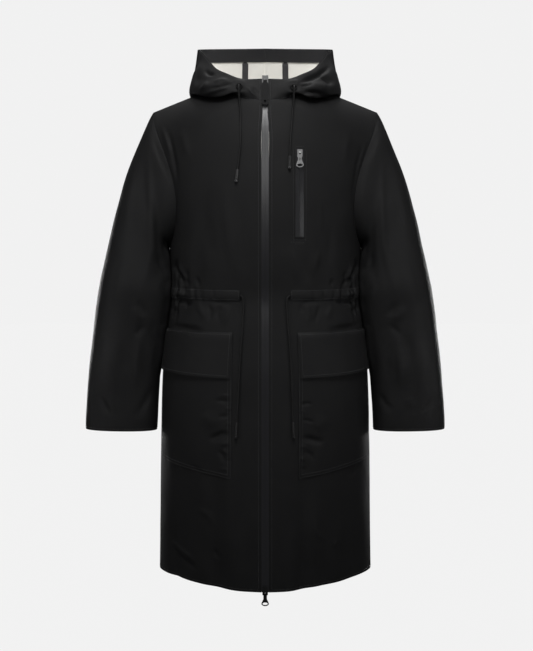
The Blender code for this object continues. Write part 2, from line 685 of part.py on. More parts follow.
def body_panels(front_left, front_right, back):
    gap = SEAM_GAP / 2
    room = (SHOULDER_ROOM_NECK + (SHOULDER_ROOM_TIP - SHOULDER_ROOM_NECK) * front_shares())[:, None]
    edges = dict(right=gap, top=room)
    cloth("front_left", trimmed(front_left, **edges), WALL, shell_cloth())
    cloth("front_right", mirrored(trimmed(front_right, **edges))[:, ::-1], WALL, shell_cloth())
    middle = BACK_HALF_COLUMNS
    right_half = back[:, : middle + 1].copy()
    right_half[:NECK_ROW, middle] *= (-1, 1, 1)
    whole = np.concatenate([right_half, back[:, middle:]], axis=1)
    across = np.concatenate([np.linspace(1, 0, middle + 1), np.linspace(0, 1, middle + 1)])
    room = (SHOULDER_ROOM_NECK + (SHOULDER_ROOM_TIP - SHOULDER_ROOM_NECK) * across)[:, None]
    panel = trimmed(whole, left=gap, right=gap, top=room)[:, ::-1]
    cloth("back", panel, WALL, shell_cloth(), notch=middle)


def sleeves(front_left, front_right, back):
    left = sleeve_grid(front_left, back)
    cloth("sleeve_left", left, WALL, shell_cloth(), closed=True)
    right = mirrored(sleeve_grid(front_right, mirrored(back)[:, ::-1]))
    cloth("sleeve_right", right[:, ::-1], WALL, shell_cloth(), closed=True)


def hood(front, back):
    gap = HOOD_SEAM_GAP / 2
    side = hood_grid(front, back, SIDE_PANEL_SHARES)
    half = hood_grid(front, back, CENTRE_PANEL_SHARES)
    centre = np.concatenate([half, mirrored(half[:, -2::-1])], axis=1)
    cloth("hood_side_left", trimmed(side, right=gap), WALL, shell_cloth())
    cloth("hood_side_right", mirrored(trimmed(side, right=gap))[:, ::-1], WALL, shell_cloth())
    cloth("hood_centre", trimmed(centre, left=gap, right=gap), WALL, shell_cloth())
    hood_facing(side, centre)
    seam_tapes(side, centre)
    return side


def hood_facing(side, centre):
    """The band inside the rim, from one zip edge round to the other."""
    whole = np.concatenate([side, centre[:, 1:-1], mirrored(side[:, ::-1])], axis=1)
    inward = normals(whole)
    run = np.linalg.norm(np.diff(whole, axis=0), axis=2).mean(axis=0)
    columns = np.arange(whole.shape[1])
    down = np.linspace(0.001, FACING_WIDTH, FACING_STEPS + 1)[:, None]
    rows = HOOD_STEPS - down / run[None, :]
    distance = WALL / 2 + FACING_GAP + TRIM_WALL / 2
    band = read(whole, rows, columns[None, :]) + unit(read(inward, rows, columns[None, :])) * distance
    cloth("hood_rim_facing", band, TRIM_WALL, dark_trim())


def seam_tapes(side, centre):
    """A narrow tape over each hood seam, inside, from the facing down to the neck."""
    seam = side[:, -1]
    to_side = unit(side[:, -2] - seam)
    to_centre = unit(centre[:, 1] - seam)
    inward = unit(np.cross(np.gradient(seam, axis=0), to_centre - to_side))
    run = np.linalg.norm(np.diff(seam, axis=0), axis=1).mean()
    last = HOOD_STEPS - (FACING_WIDTH + 0.0025) / run
    rows = between(SEAM_TAPE_START, last)
    half = SEAM_TAPE_WIDTH / 2
    distance = WALL / 2 + SEAM_TAPE_GAP + TRIM_WALL / 2
    lines = []
    for sideways in (to_side * half, 0.0, to_centre * half):
        points = seam + inward * distance + sideways
        lines.append(np.stack([np.interp(rows, np.arange(len(points)), points[:, k]) for k in range(3)], axis=-1))
    tape = np.stack(lines, axis=1)
    cloth("hood_seam_tape_left", tape, TRIM_WALL, dark_trim())
    cloth("hood_seam_tape_right", mirrored(tape)[:, ::-1], TRIM_WALL, dark_trim())


def laid_on(panel, out, rows, columns, lift, wall=PATCH_WALL):
    """Points of a patch on a panel: the panel's own, moved out by both half walls, the gap and a lift."""
    distance = WALL / 2 + SEAM_GAP + wall / 2 + lift
    return read(panel, rows, columns) + unit(read(out, rows, columns)) * np.asarray(distance)[..., None]


def casing(front_left, front_right, back):
    """The drawcord tunnel: a band on each front from near the zip to the side seam, and one round the back."""
    top = TOP_ROWS + 3
    rows = np.array([top, top + 0.5, top + 1.0])[:, None]
    puff = np.array([0.0, CASING_PUFF, 0.0])[:, None]
    for name, panel in (("waist_casing_left", front_left), ("waist_casing_right", front_right)):
        columns = between(column_at_x(panel, top + 0.5, CASING_START_X), panel.shape[1] - 1)[None, :]
        band = laid_on(panel, normals(panel), rows, columns, puff * np.ones_like(columns))
        band = trimmed(band, right=SEAM_GAP)
        if name.endswith("right"):
            band = mirrored(band)[:, ::-1]
        cloth(name, band, PATCH_WALL, shell_cloth())
    columns = np.arange(back.shape[1])[None, :]
    band = laid_on(back, -normals(back), rows, columns, puff * np.ones_like(columns))
    cloth("waist_casing_back", trimmed(band, SEAM_GAP, SEAM_GAP)[:, ::-1], PATCH_WALL, shell_cloth())


def pocket_lift(across, down):
    """How far a patch pocket stands off its panel: nothing at its edges, most in its middle."""
    return POCKET_FULLNESS * (np.sin(math.pi * across) * np.sin(math.pi * np.clip(down, 0, 1))) ** 0.7


def pocket(name, panel):
    """A patch pocket with a full middle, its top edge under the flap."""
    out = normals(panel)
    shares = front_shares()
    end = float(np.interp(POCKET_END_SHARE, shares, np.arange(len(shares))))
    start = column_at_x(panel, row_at_z(panel, 3, (POCKET_TOP + POCKET_BOTTOM_INNER) / 2), POCKET_INNER_X)
    columns = between(start, end)
    across = (np.interp(columns, np.arange(len(shares)), shares) - shares_at(start)) / (
        POCKET_END_SHARE - shares_at(start)
    )
    top = row_at_z(panel, start, POCKET_TOP)
    inner_end = row_at_z(panel, start, POCKET_BOTTOM_INNER)
    outer_end = row_at_z(panel, end, POCKET_BOTTOM_OUTER)
    down = np.linspace(0, 1, POCKET_STEPS + 1)[:, None]
    bottom = inner_end + (outer_end - inner_end) * across[None, :]
    rows = top + (bottom - top) * down
    lift = pocket_lift(across[None, :], 0.06 + 0.94 * down) + 0.0003
    return name, laid_on(panel, out, rows, columns[None, :] * np.ones_like(rows), lift)


def shares_at(column):
    shares = front_shares()
    return float(np.interp(column, np.arange(len(shares)), shares))


def flap(name, panel):
    """A flap sewn above the pocket, lying over its top edge and standing off at its lower edge."""
    out = normals(panel)
    shares = front_shares()
    index = np.arange(len(shares))
    end = float(np.interp(POCKET_END_SHARE + 0.005, shares, index))
    top = row_at_z(panel, 3, FLAP_TOP)
    first = column_at_x(panel, top, FLAP_INNER_TOP_X)
    low = row_at_z(panel, 3, FLAP_BOTTOM_INNER)
    last = column_at_x(panel, low, FLAP_INNER_BOTTOM_X)
    columns = between(first, end)
    across = (np.interp(columns, index, shares) - shares_at(first)) / (POCKET_END_SHARE - shares_at(first))
    down = np.array(FLAP_DOWN)[:, None]
    high = row_at_z(panel, end, FLAP_BOTTOM_OUTER)
    bottom = low + (high - low) * np.clip(across, 0, 1)[None, :]
    rows = top + (bottom - top) * down
    slant = (last - first) * down * (1 - np.clip(across, 0, 1))[None, :]
    over_pocket = rise(down, 0.0, FLAP_DOWN[1]) * (PATCH_WALL + 2 * SEAM_GAP + 0.0008)
    depth = (FLAP_TOP - POCKET_TOP + down * (FLAP_BOTTOM_INNER - FLAP_TOP)) / (POCKET_TOP - POCKET_BOTTOM_INNER)
    under = pocket_lift(np.clip(across, 0, 1)[None, :], np.clip(-depth, 0, 1) * 0.94 + 0.06) * rise(down, 0.0, FLAP_DOWN[1])
    proud = FLAP_LIFT * down**2 * (0.35 + 0.65 * np.sin(math.pi * np.clip(across, 0, 1)))[None, :]
    lift = over_pocket + under + proud
    return name, laid_on(panel, out, rows, columns[None, :] + slant, lift)


def pockets(front_left, front_right):
    for side, panel in (("left", front_left), ("right", front_right)):
        for name, grid in (pocket(f"pocket_{side}", panel), flap(f"pocket_flap_{side}", panel)):
            if side == "right":
                grid = mirrored(grid)[:, ::-1]
            cloth(name, grid, PATCH_WALL, shell_cloth())


# ---------------------------------------------------------------- zips


def main_zip_line(front, side):
    """The line down the middle of the front, from the top of the stand to the hem."""
    stand = side[::-1, 0]
    body = front[NECK_ROW + 1 :, 0]
    line = np.concatenate([stand[:-1], front[NECK_ROW : NECK_ROW + 1, 0], body])
    return line * (0, 1, 1)


def main_zip(line):
    edges = (SEAM_GAP / 2, ZIP_HALF - SEAM_GAP)
    tape = np.stack([line + (x, 0, 0) for x in edges], axis=1)
    cloth("zip_tape_left", tape, TAPE_WALL, coated_tape())
    cloth("zip_tape_right", mirrored(tape)[:, ::-1], TAPE_WALL, coated_tape())


def spot(grid, x, z):
    """The fractional row and column of a front panel at x and z."""
    column = column_at_x(grid, TOP_ROWS - 2, x)
    for _ in range(8):
        row = row_at_z(grid, column, z)
        column = column_at_x(grid, row, x)
    return row, column


def chest_zip(front):
    """Two coated strips with a slit between them, inside a thin bonded frame."""
    out = normals(front)
    heights = np.linspace(CHEST_ZIP_TOP, CHEST_ZIP_BOTTOM, CHEST_ZIP_STEPS + 1)
    inner = CHEST_ZIP_X - CHEST_STRIP_HALF
    outer = CHEST_ZIP_X + CHEST_STRIP_HALF
    middle = SEAM_GAP / 2
    for name, edges in (("inner", (inner, CHEST_ZIP_X - middle)), ("outer", (CHEST_ZIP_X + middle, outer))):
        wanted = np.array([[spot(front, x, z) for x in edges] for z in heights])
        strip = laid_on(front, out, wanted[..., 0], wanted[..., 1], CHEST_ZIP_LIFT, TRIM_WALL)
        cloth(f"chest_zip_strip_{name}", strip, TRIM_WALL, coated_tape())
    chest_frame(front, out)


def chest_frame(front, out):
    """A thin band all round the chest zip: a loop of points and the same loop drawn outwards."""
    half_width = CHEST_STRIP_HALF + SEAM_GAP
    middle_z = (CHEST_ZIP_TOP + CHEST_ZIP_BOTTOM) / 2
    half_height = (CHEST_ZIP_TOP - CHEST_ZIP_BOTTOM) / 2 + SEAM_GAP
    grid = []
    for extra in (0.0, CHEST_FRAME_WIDTH):
        loop = rounded_outline(half_width + extra, half_height + extra, 0.0002 + extra, 2, sides=CHEST_ZIP_STEPS)
        wanted = np.array([spot(front, CHEST_ZIP_X + x, middle_z + z) for x, z in loop + loop[:1]])
        grid.append(laid_on(front, out, wanted[:, 0], wanted[:, 1], CHEST_ZIP_LIFT, TRIM_WALL))
    cloth("chest_zip_frame", np.array(grid), TRIM_WALL, dark_trim(), closed=True)


def rounded_outline(half_width, half_height, radius, steps, sides=0):
    """A rectangle with round corners, anticlockwise, with extra points along its upright sides."""
    points = []
    corners = ((1, 1, 0), (-1, 1, 90), (-1, -1, 180), (1, -1, 270))
    for sx, sy, first in corners:
        for k in range(steps + 1):
            angle = math.radians(first + 90 * k / steps)
            x = sx * (half_width - radius) + radius * math.cos(angle)
            points.append((x, sy * (half_height - radius) + radius * math.sin(angle)))
        if sides and (sx, sy) in ((-1, 1), (1, -1)):
            x, y = points[-1]
            for k in range(1, sides):
                points.append((x, y * (1 - 2 * k / sides)))
    return points


def flat_piece(outline, holes, half_thickness):
    """A flat outline with holes, as a mesh: X and Y of the outline, the thickness along Z."""
    curve = bpy.data.curves.new("outline", "CURVE")
    curve.dimensions = "2D"
    curve.fill_mode = "BOTH"
    curve.extrude = half_thickness
    for ring in (outline, *holes):
        spline = curve.splines.new("POLY")
        spline.points.add(len(ring) - 1)
        for point, (x, y) in zip(spline.points, ring):
            point.co = (x, y, 0, 1)
        spline.use_cyclic_u = True
    holder = bpy.data.objects.new("outline", curve)
    CUTTERS.objects.link(holder)
    bpy.context.view_layer.update()
    mesh = bpy.data.meshes.new_from_object(holder.evaluated_get(bpy.context.evaluated_depsgraph_get()))
    bpy.data.objects.remove(holder)
    shape = bmesh.new()
    shape.from_mesh(mesh)
    bmesh.ops.remove_doubles(shape, verts=shape.verts, dist=1e-6)
    shape.to_mesh(mesh)
    shape.free()
    return mesh


def moved(mesh, matrix):
    """The mesh with each point put through a function of (x, y, z)."""
    for vertex in mesh.vertices:
        vertex.co = matrix(*vertex.co)
    return mesh


def slider(spec, tilt, place, hook):
    """A slider on the zip's face, with the bridge that its pull turns in. hook is +1 where a plate behind
    the tape is joined over the tape's top end, -1 under its bottom end, and 0 for a plate on the face only."""
    face = -(TAPE_WALL / 2 + SLIDER_GAP)
    front_face = face - SLIDER_PLATE
    if hook:
        back_face = TAPE_WALL / 2 + SLIDER_GAP
        behind = back_face + SLIDER_BACK
        end = spec.top if hook > 0 else spec.bottom
        post = hook * (SEAM_GAP + 0.0003)
        outline = [
            (front_face, spec.bottom if hook > 0 else spec.top),
            (face, spec.bottom if hook > 0 else spec.top),
            (face, post),
            (back_face, post),
            (back_face, spec.bottom if hook > 0 else spec.top),
            (behind, spec.bottom if hook > 0 else spec.top),
            (behind, end),
            (front_face, end),
        ]
        if hook < 0:
            outline = outline[::-1]
    else:
        outline = [(front_face, spec.bottom), (face, spec.bottom), (face, spec.top), (front_face, spec.top)]
    body = moved(flat_piece(outline, [], spec.half_width), lambda y, z, x: (x, y, z))
    axis_y = front_face - BRIDGE_STAND
    arc = [math.radians(90 + 180 * k / 8) for k in range(9)]
    root = front_face + 0.0006
    arch = [(root, spec.hinge + BRIDGE_OUTER)]
    arch += [(axis_y + BRIDGE_OUTER * math.cos(a), spec.hinge + BRIDGE_OUTER * math.sin(a)) for a in arc]
    arch += [(root, spec.hinge - BRIDGE_OUTER), (root, spec.hinge - BRIDGE_INNER)]
    arch += [(axis_y + BRIDGE_INNER * math.cos(a), spec.hinge + BRIDGE_INNER * math.sin(a)) for a in arc[::-1]]
    arch += [(root, spec.hinge + BRIDGE_INNER)]
    bridge_mesh = moved(flat_piece(arch, [], BRIDGE_HALF_WIDTH), lambda y, z, x: (x, y, z))
    bridge = add(bpy.data.objects.new(spec.name + "_bridge", bridge_mesh), gunmetal(), CUTTERS)
    made = add(bpy.data.objects.new(spec.name, body), gunmetal())
    for obj in (made, bridge):
        obj.location = place
        obj.rotation_euler = (tilt, 0, 0)
    bridge.hide_render = True
    bridge.display_type = "WIRE"
    for obj in (made, bridge):
        outward(obj.data)
    joined = made.modifiers.new("bridge", "BOOLEAN")
    joined.operation = "UNION"
    joined.object = bridge
    made.data.set_sharp_from_angle(angle=math.radians(40))
    return turned((0, axis_y, spec.hinge), tilt, place)


def outward(mesh):
    shape = bmesh.new()
    shape.from_mesh(mesh)
    bmesh.ops.recalc_face_normals(shape, faces=shape.faces)
    shape.to_mesh(mesh)
    shape.free()


def turned(point, tilt, place):
    """A point of a slider's own frame in the coat's."""
    x, y, z = point
    return (
        place[0] + x,
        place[1] + y * math.cos(tilt) - z * math.sin(tilt),
        place[2] + y * math.sin(tilt) + z * math.cos(tilt),
    )


def pull(name, hinge, tilt, outline, holes, paint):
    """A pull with its origin on its hinge: a plate whose top bar sits in the slider's bridge."""
    opening = rounded_box(0, -(PULL_BAR + PULL_HOLE_REACH) / 2, PULL_HOLE_HALF, (PULL_HOLE_REACH - PULL_BAR) / 2)
    mesh = flat_piece(outline, [opening, *holes], PULL_THICKNESS / 2)
    moved(mesh, lambda x, y, z: (x, -z, y))
    outward(mesh)
    made = add(bpy.data.objects.new(name, mesh), paint)
    made.location = hinge
    made.rotation_euler = (tilt, 0, 0)
    return made


def rounded_box(x, y, half_width, half_height, share=0.3, steps=2):
    radius = min(half_width, half_height) * share
    return [(x + px, y + py) for px, py in rounded_outline(half_width, half_height, radius, steps)]


def oval(x, y, half_width, half_height, steps=16):
    turns = [2 * math.pi * k / steps for k in range(steps)]
    return [(x + half_width * math.cos(a), y + half_height * math.sin(a)) for a in turns]


def long_pull_outline():
    """The tab of the top pull: narrow at its hinge, then straight, with round corners."""
    half = 0.0066
    return [
        (-0.0036, PULL_BAR), (0.0036, PULL_BAR), (0.0040, -0.0045), (half, -0.0085), (half, -0.0500),
        (half - 0.0012, -0.0524), (half - 0.0036, -0.0534), (-half + 0.0036, -0.0534),
        (-half + 0.0012, -0.0524), (-half, -0.0500), (-half, -0.0085), (-0.0040, -0.0045),
    ]


def eye_pull_outline(length, half):
    """A short pull that widens to an oval eye at its lower end."""
    ring = oval(0, -length + half * 0.62, half, half * 0.62, 20)
    lower = [point for point in ring if point[1] < -length + half * 0.9]
    lower.sort(key=lambda p: math.atan2(p[0], p[1] + length - half * 0.62))
    right = [p for p in lower if p[0] > 0]
    left = [p for p in lower if p[0] <= 0]
    right.sort(key=lambda p: -p[1])
    left.sort(key=lambda p: p[1])
    shank = 0.0036
    return [(-shank, PULL_BAR), (shank, PULL_BAR), (shank, -length * 0.45), *right, *left, (-shank, -length * 0.45)]


def hardware(line, front):
    """Sliders and pulls of both zips, each at its end of its zip."""
    top = line[0]
    lean = line[3] - line[0]
    tilt = math.atan2(lean[1], -lean[2]) * -1
    hinge = slider(TOP_SLIDER, -tilt, tuple(top), 1)
    holes = [oval(0, -0.0460, 0.0022, 0.0030, 12)]
    pull("zip_pull_top", hinge, -tilt, long_pull_outline(), holes, dark_trim())
    bottom = line[-1]
    hinge = slider(BOTTOM_SLIDER, 0.0, tuple(bottom), -1)
    eye = 0.0075
    holes = [oval(0, -0.0255 + eye * 0.62, eye - 0.0022, eye * 0.62 - 0.0020, 16)]
    pull("zip_pull_bottom", hinge, 0.0, eye_pull_outline(0.0255, eye), holes, gunmetal())
    chest = slider_place(front)
    hinge = slider(CHEST_SLIDER, chest[1], chest[0], 0)
    holes = [oval(0, -0.0290 + eye * 0.62, eye - 0.0022, eye * 0.62 - 0.0020, 16)]
    holes.append(rounded_box(0, -0.0125, 0.0008, 0.0028))
    pull("chest_zip_pull", hinge, chest[1], eye_pull_outline(0.0290, eye), holes, gunmetal())


def slider_place(front):
    """Where the chest slider lies on its strips, and how the panel leans there."""
    row, column = spot(front, CHEST_ZIP_X, CHEST_ZIP_TOP - 0.004)
    above = read(front, row, column)
    below = read(front, *spot(front, CHEST_ZIP_X, CHEST_ZIP_TOP - 0.040))
    out = unit(read(normals(front), row, column))
    lean = math.atan2(above[1] - below[1], above[2] - below[2])
    seat = above + out * (WALL / 2 + SEAM_GAP + TRIM_WALL + CHEST_SLIDER_GAP - TAPE_WALL / 2)
    return tuple(seat), -lean


# ---------------------------------------------------------------- cords and eyelets


def cord_line(route):
    """The route as a smooth curve, read at even steps."""
    route = np.array(route)
    run = np.concatenate([[0], np.cumsum(np.linalg.norm(np.diff(route, axis=0), axis=1))])
    fine = smooth_curve(run, route, np.linspace(0, run[-1], 200))
    count = int(run[-1] / CORD_SPACING)
    return spaced(fine, np.linspace(0, 1, count + 1))


def cord(name, route):
    line = cord_line(route)
    curve = bpy.data.curves.new(name, "CURVE")
    curve.dimensions = "3D"
    curve.bevel_depth = CORD_RADIUS
    curve.bevel_resolution = 2
    curve.use_fill_caps = True
    spline = curve.splines.new("POLY")
    spline.points.add(len(line) - 1)
    for point, place in zip(spline.points, line):
        point.co = (*place, 1)
    add(bpy.data.objects.new(name, curve), cord_yarn())
    barrel = WAIST_END_BARREL if name.startswith("waist") else HOOD_END_BARREL
    cord_end(name.replace("cord", "cord_end"), line[-1], unit(line[-1] - line[-2]), barrel)


def cord_end(name, start, way, barrel):
    """A turned end piece: a barrel that grips the cord, and a small knob below it."""
    knob = END_KNOT_RADIUS
    neck = barrel + 0.0012
    profile = [(0.0, 0.0), (END_RADIUS * 0.8, 0.0), (END_RADIUS, 0.0006), (END_RADIUS, barrel - 0.0006)]
    profile += [(END_RADIUS * 0.7, barrel)]
    for k in range(5):
        angle = math.radians(50 + 130 * k / 4)
        profile.append((knob * math.sin(angle), neck + knob * (math.cos(math.radians(50)) - math.cos(angle))))
    profile[-1] = (0.0, profile[-1][1])
    steps = 8
    mesh = bpy.data.meshes.new(name)
    points = [(0.0, 0.0, 0.0)]
    for radius, down in profile[1:-1]:
        for k in range(steps):
            angle = 2 * math.pi * k / steps
            points.append((radius * math.cos(angle), radius * math.sin(angle), -down))
    points.append((0.0, 0.0, -profile[-1][1]))
    faces = [(0, 1 + k, 1 + (k + 1) % steps) for k in range(steps)]
    rings = len(profile) - 2
    for ring in range(rings - 1):
        for k in range(steps):
            after = (k + 1) % steps
            a = 1 + ring * steps
            faces.append((a + k, a + steps + k, a + steps + after, a + after))
    last = 1 + (rings - 1) * steps
    faces += [(last + (k + 1) % steps, last + k, len(points) - 1) for k in range(steps)]
    mesh.from_pydata(points, [], faces)
    outward(mesh)
    mesh.shade_smooth()
    made = add(bpy.data.objects.new(name, mesh), dark_trim())
    made.location = tuple(start + way * SEAM_GAP)
    made.rotation_euler = (math.atan2(way[1], -way[2]), math.atan2(-way[0], -way[2]), 0)


def eyelets(side):
    """A ring on the outside of the hood's stand where each hood cord comes out."""
    out = -normals(side)
    for name, route in (("left", "hood_cord_left"), ("right", "hood_cord_right")):
        x, _, z = CORD_ROUTES[route][0]
        column = 2.0
        for _ in range(6):
            row = float(np.interp(z, read(side, np.arange(HOOD_STEPS + 1), column)[:, 2], np.arange(HOOD_STEPS + 1)))
            column = float(np.interp(abs(x), read(side, row, np.arange(side.shape[1]))[:8, 0], np.arange(8)))
        seat = read(side, row, column)
        way = unit(read(out, row, column))
        bpy.ops.mesh.primitive_torus_add(
            major_radius=EYELET_RING, minor_radius=EYELET_THICKNESS, major_segments=14, minor_segments=6
        )
        ring = bpy.context.active_object
        ring.name = f"hood_eyelet_{name}"
        for collection in list(ring.users_collection):
            collection.objects.unlink(ring)
        add(ring, dark_trim())
        place = seat + way * (WALL / 2 + SEAM_GAP * 1.5 + EYELET_THICKNESS)
        turn = -math.atan2(way[2], -way[1])
        mirror = 1 if x > 0 else -1
        ring.location = (place[0] * mirror, place[1], place[2])
        ring.rotation_euler = (math.pi / 2 + turn, 0, mirror * math.asin(way[0]))
    

def build():
    for obj in list(bpy.data.objects):
        bpy.data.objects.remove(obj)
    bpy.context.scene.collection.children.link(PARTS)
    bpy.context.scene.collection.children.link(CUTTERS)
    front_left = front_grid(FRONT_LEFT_FOLDS)
    front_right = front_grid(FRONT_RIGHT_FOLDS)
    back = back_grid()
    body_panels(front_left, front_right, back)
    sleeves(front_left, front_right, back)
    side = hood(front_left, back)
    casing(front_left, front_right, back)
    pockets(front_left, front_right)
    line = main_zip_line(front_left, side)
    main_zip(line)
    chest_zip(front_left)
    hardware(line, front_left)
    for name, route in CORD_ROUTES.items():
        cord(name, route)
    eyelets(side)


build()
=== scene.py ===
# %% [markdown]
# # A long hooded raincoat
# The coat is filled out as if somebody wore it: black coated cloth outside, a cream bonded face inside, a
# two-way front zip, a chest zip, drawcords in the hood and the waist, and flapped patch pockets. The packed
# CAD model is the fixed frame. It holds every panel as a plain closed sheet, so each piece made here is
# built on its own sheet and only gets what a sheet lacks: folds, seams, stitches and finishes.

# %% Load the fixed frame
import math

import bmesh
import bpy
import numpy as np
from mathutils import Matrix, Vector, noise
from mathutils.bvhtree import BVHTree
from mathutils.kdtree import KDTree


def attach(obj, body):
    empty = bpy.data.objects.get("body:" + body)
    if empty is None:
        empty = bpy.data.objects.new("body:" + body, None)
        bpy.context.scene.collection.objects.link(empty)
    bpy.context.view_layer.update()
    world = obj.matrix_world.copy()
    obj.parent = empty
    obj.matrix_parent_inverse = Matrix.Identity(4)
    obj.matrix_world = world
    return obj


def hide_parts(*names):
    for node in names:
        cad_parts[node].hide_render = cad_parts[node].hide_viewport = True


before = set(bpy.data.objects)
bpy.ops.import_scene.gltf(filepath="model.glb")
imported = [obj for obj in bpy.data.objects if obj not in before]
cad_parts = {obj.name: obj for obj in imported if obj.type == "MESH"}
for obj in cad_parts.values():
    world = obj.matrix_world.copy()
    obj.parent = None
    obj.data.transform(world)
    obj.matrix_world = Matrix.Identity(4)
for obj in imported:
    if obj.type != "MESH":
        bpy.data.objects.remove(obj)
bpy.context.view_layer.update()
bpy.ops.object.select_all(action="DESELECT")
MM = 0.001
print("nodes in the frame:", len(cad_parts))

# %% [markdown]
# ## The camera
# The photograph was taken from hip height with a long lens that looks slightly down, so the shoulders and
# the hem keep their true widths. A camera could be shifted to get the same frame. Here only its place, its
# tilt and its focal length are set, because other views then turn about the coat without a change.

# %% Camera
CAMERA_PLACE = (0.0027, -2.800, -0.236)
FOCAL_PIXELS = 1352.7
TILT_PIXELS = 125.5
LONG_SIDE_PIXELS = 651
FILM_MM = 36.0

lens = bpy.data.cameras.new("studio_camera")
lens.sensor_width = FILM_MM
lens.lens = FOCAL_PIXELS / LONG_SIDE_PIXELS * FILM_MM
camera = bpy.data.objects.new("studio_camera", lens)
camera.location = CAMERA_PLACE
camera.rotation_euler = (math.pi / 2 - math.atan(TILT_PIXELS / FOCAL_PIXELS), 0, 0)
bpy.context.scene.collection.objects.link(camera)
bpy.context.scene.camera = camera
print("lens:", round(lens.lens, 1), "mm")

# %% [markdown]
# ## Finishes as sums
# A finish is a small chain of nodes, and much of it is sums. Nodes linked one by one can't be read as a
# sum, so `Tone` wraps one socket, and each operator adds its Math node.

# %% Sums of sockets


class Tone:
    """One output socket of a finish, with the operators that its sums use."""

    def __init__(self, finish, socket):
        self.finish = finish
        self.socket = socket

    def sum_with(self, operation, first, second):
        return self.finish.add("ShaderNodeMath", {"operation": operation}, {0: first, 1: second})

    def __add__(self, other):
        return self.sum_with("ADD", self, other)

    def __radd__(self, other):
        return self.sum_with("ADD", other, self)

    def __mul__(self, other):
        return self.sum_with("MULTIPLY", self, other)

    def __rmul__(self, other):
        return self.sum_with("MULTIPLY", other, self)


print("tones can be added and multiplied")

# %% [markdown]
# ## One finish
# Every finish is one Principled shader. What is the same all over is set on its own sockets, and what
# changes over the surface comes from noise for wear and haze, or from waves for threads and ribs. A wave
# node repeats every 0.314 units at scale 1, which turns a pitch in metres into its scale.

# %% The finish class
WAVE_LENGTH = 0.314
SHARE, FIRST_COLOUR, SECOND_COLOUR, MIXED_COLOUR = 0, 6, 7, 2


class Finish:
    """One material: a Principled shader and the nodes that feed it."""

    def __init__(self, name, **fixed):
        self.paint = bpy.data.materials.new(name)
        self.paint.use_nodes = True
        self.tree = self.paint.node_tree
        self.shader = self.tree.nodes["Principled BSDF"]
        for socket, value in fixed.items():
            self.shader.inputs[socket.replace("_", " ")].default_value = value

    def add(self, kind, settings, sockets, output=0):
        made = self.tree.nodes.new(kind)
        for setting, value in settings.items():
            setattr(made, setting, value)
        for socket, value in sockets.items():
            if isinstance(value, Tone):
                self.tree.links.new(value.socket, made.inputs[socket])
            else:
                made.inputs[socket].default_value = value
        return Tone(self, made.outputs[output])

    def place(self, kind="UV"):
        """Coordinates of the cloth's own flat cut (UV) or of the object (Object), in metres."""
        return self.add("ShaderNodeTexCoord", {}, {}, kind)

    def mottle(self, place, size, detail=2.0):
        """Soft noise from 0 to 1 whose patches are about size metres across."""
        sockets = {"Vector": place, "Scale": 1 / size, "Detail": detail}
        return self.add("ShaderNodeTexNoise", {}, sockets, "Fac")

    def bands(self, place, direction, pitch):
        """Waves from 0 to 1 that repeat every pitch metres along one direction."""
        settings = {"wave_type": "BANDS", "bands_direction": direction, "wave_profile": "SIN"}
        sockets = {"Vector": place, "Scale": WAVE_LENGTH / pitch}
        return self.add("ShaderNodeTexWave", settings, sockets, "Fac")

    def weave(self, place, pitch):
        """Crossing threads from 0 to 1: two sets of waves at right angles."""
        return (self.bands(place, "X", pitch) + self.bands(place, "Y", pitch)) * 0.5

    def between(self, share, first, second):
        """A colour between two colours."""
        sockets = {SHARE: share, FIRST_COLOUR: (*first, 1.0), SECOND_COLOUR: (*second, 1.0)}
        return self.add("ShaderNodeMix", {"data_type": "RGBA"}, sockets, MIXED_COLOUR)

    def relief(self, height, depth, strength=1.0):
        """Feeds the shader's normal from a height that is worth depth metres at 1."""
        sockets = {"Height": height, "Distance": depth, "Strength": strength}
        self.feed("Normal", self.add("ShaderNodeBump", {}, sockets))

    def feed(self, socket, tone):
        self.tree.links.new(tone.socket, self.shader.inputs[socket])


print("a finish can:", *(name for name in vars(Finish) if name[0] != "_"))

# %% [markdown]
# ## The black shell cloth
# The outer cloth is a close plain weave with a matt rainproof coating. Up close it shows crossing threads
# about 0.45 mm apart, and from afar only a very soft cloudiness, because the coating is never quite even.
# An even black could stand for it, but it would look like paint. The weave reads the flat cut of each
# panel, so its threads run down the panel as they do on a real one.

# %% Shell cloth
THREAD_PITCH = 0.00045
CLOUD_SIZE = 0.06
CRUMPLE_SIZE = 0.012


def shell_cloth():
    cloth = Finish("shell_cloth", Specular_IOR_Level=0.11)
    place = cloth.place()
    threads = cloth.weave(place, THREAD_PITCH)
    cloud = cloth.mottle(place, CLOUD_SIZE)
    crumple = cloth.mottle(place, CRUMPLE_SIZE, 3.0)
    cloth.feed("Base Color", cloth.between(cloud, (0.0034, 0.0034, 0.0035), (0.0056, 0.0056, 0.0057)))
    cloth.feed("Roughness", 0.60 + cloud * 0.08 + threads * 0.06)
    cloth.relief(threads * 0.25 + crumple * 0.75, 0.0004, 0.35)
    return cloth.paint


SHELL = shell_cloth()
print("finish:", SHELL.name)

# %% [markdown]
# ## The cream inner face
# Rain cloth of this sort is two cloths bonded together, and the inner one is a fine cream knit. It shows
# inside the hood, and through the neck, the hem and the cuffs. Along the seams the black cloth is turned
# in, as far as the attribute that the sewing writes says. Strips of cloth could be modelled there, but the
# turned edge is flat and so narrow that a change of colour does the same.

# %% Inner cloth
KNIT_PITCH = 0.0012
CREAM_CLOUD_SIZE = 0.03
TURNED_IN_BLACK = (0.005, 0.005, 0.005, 1.0)


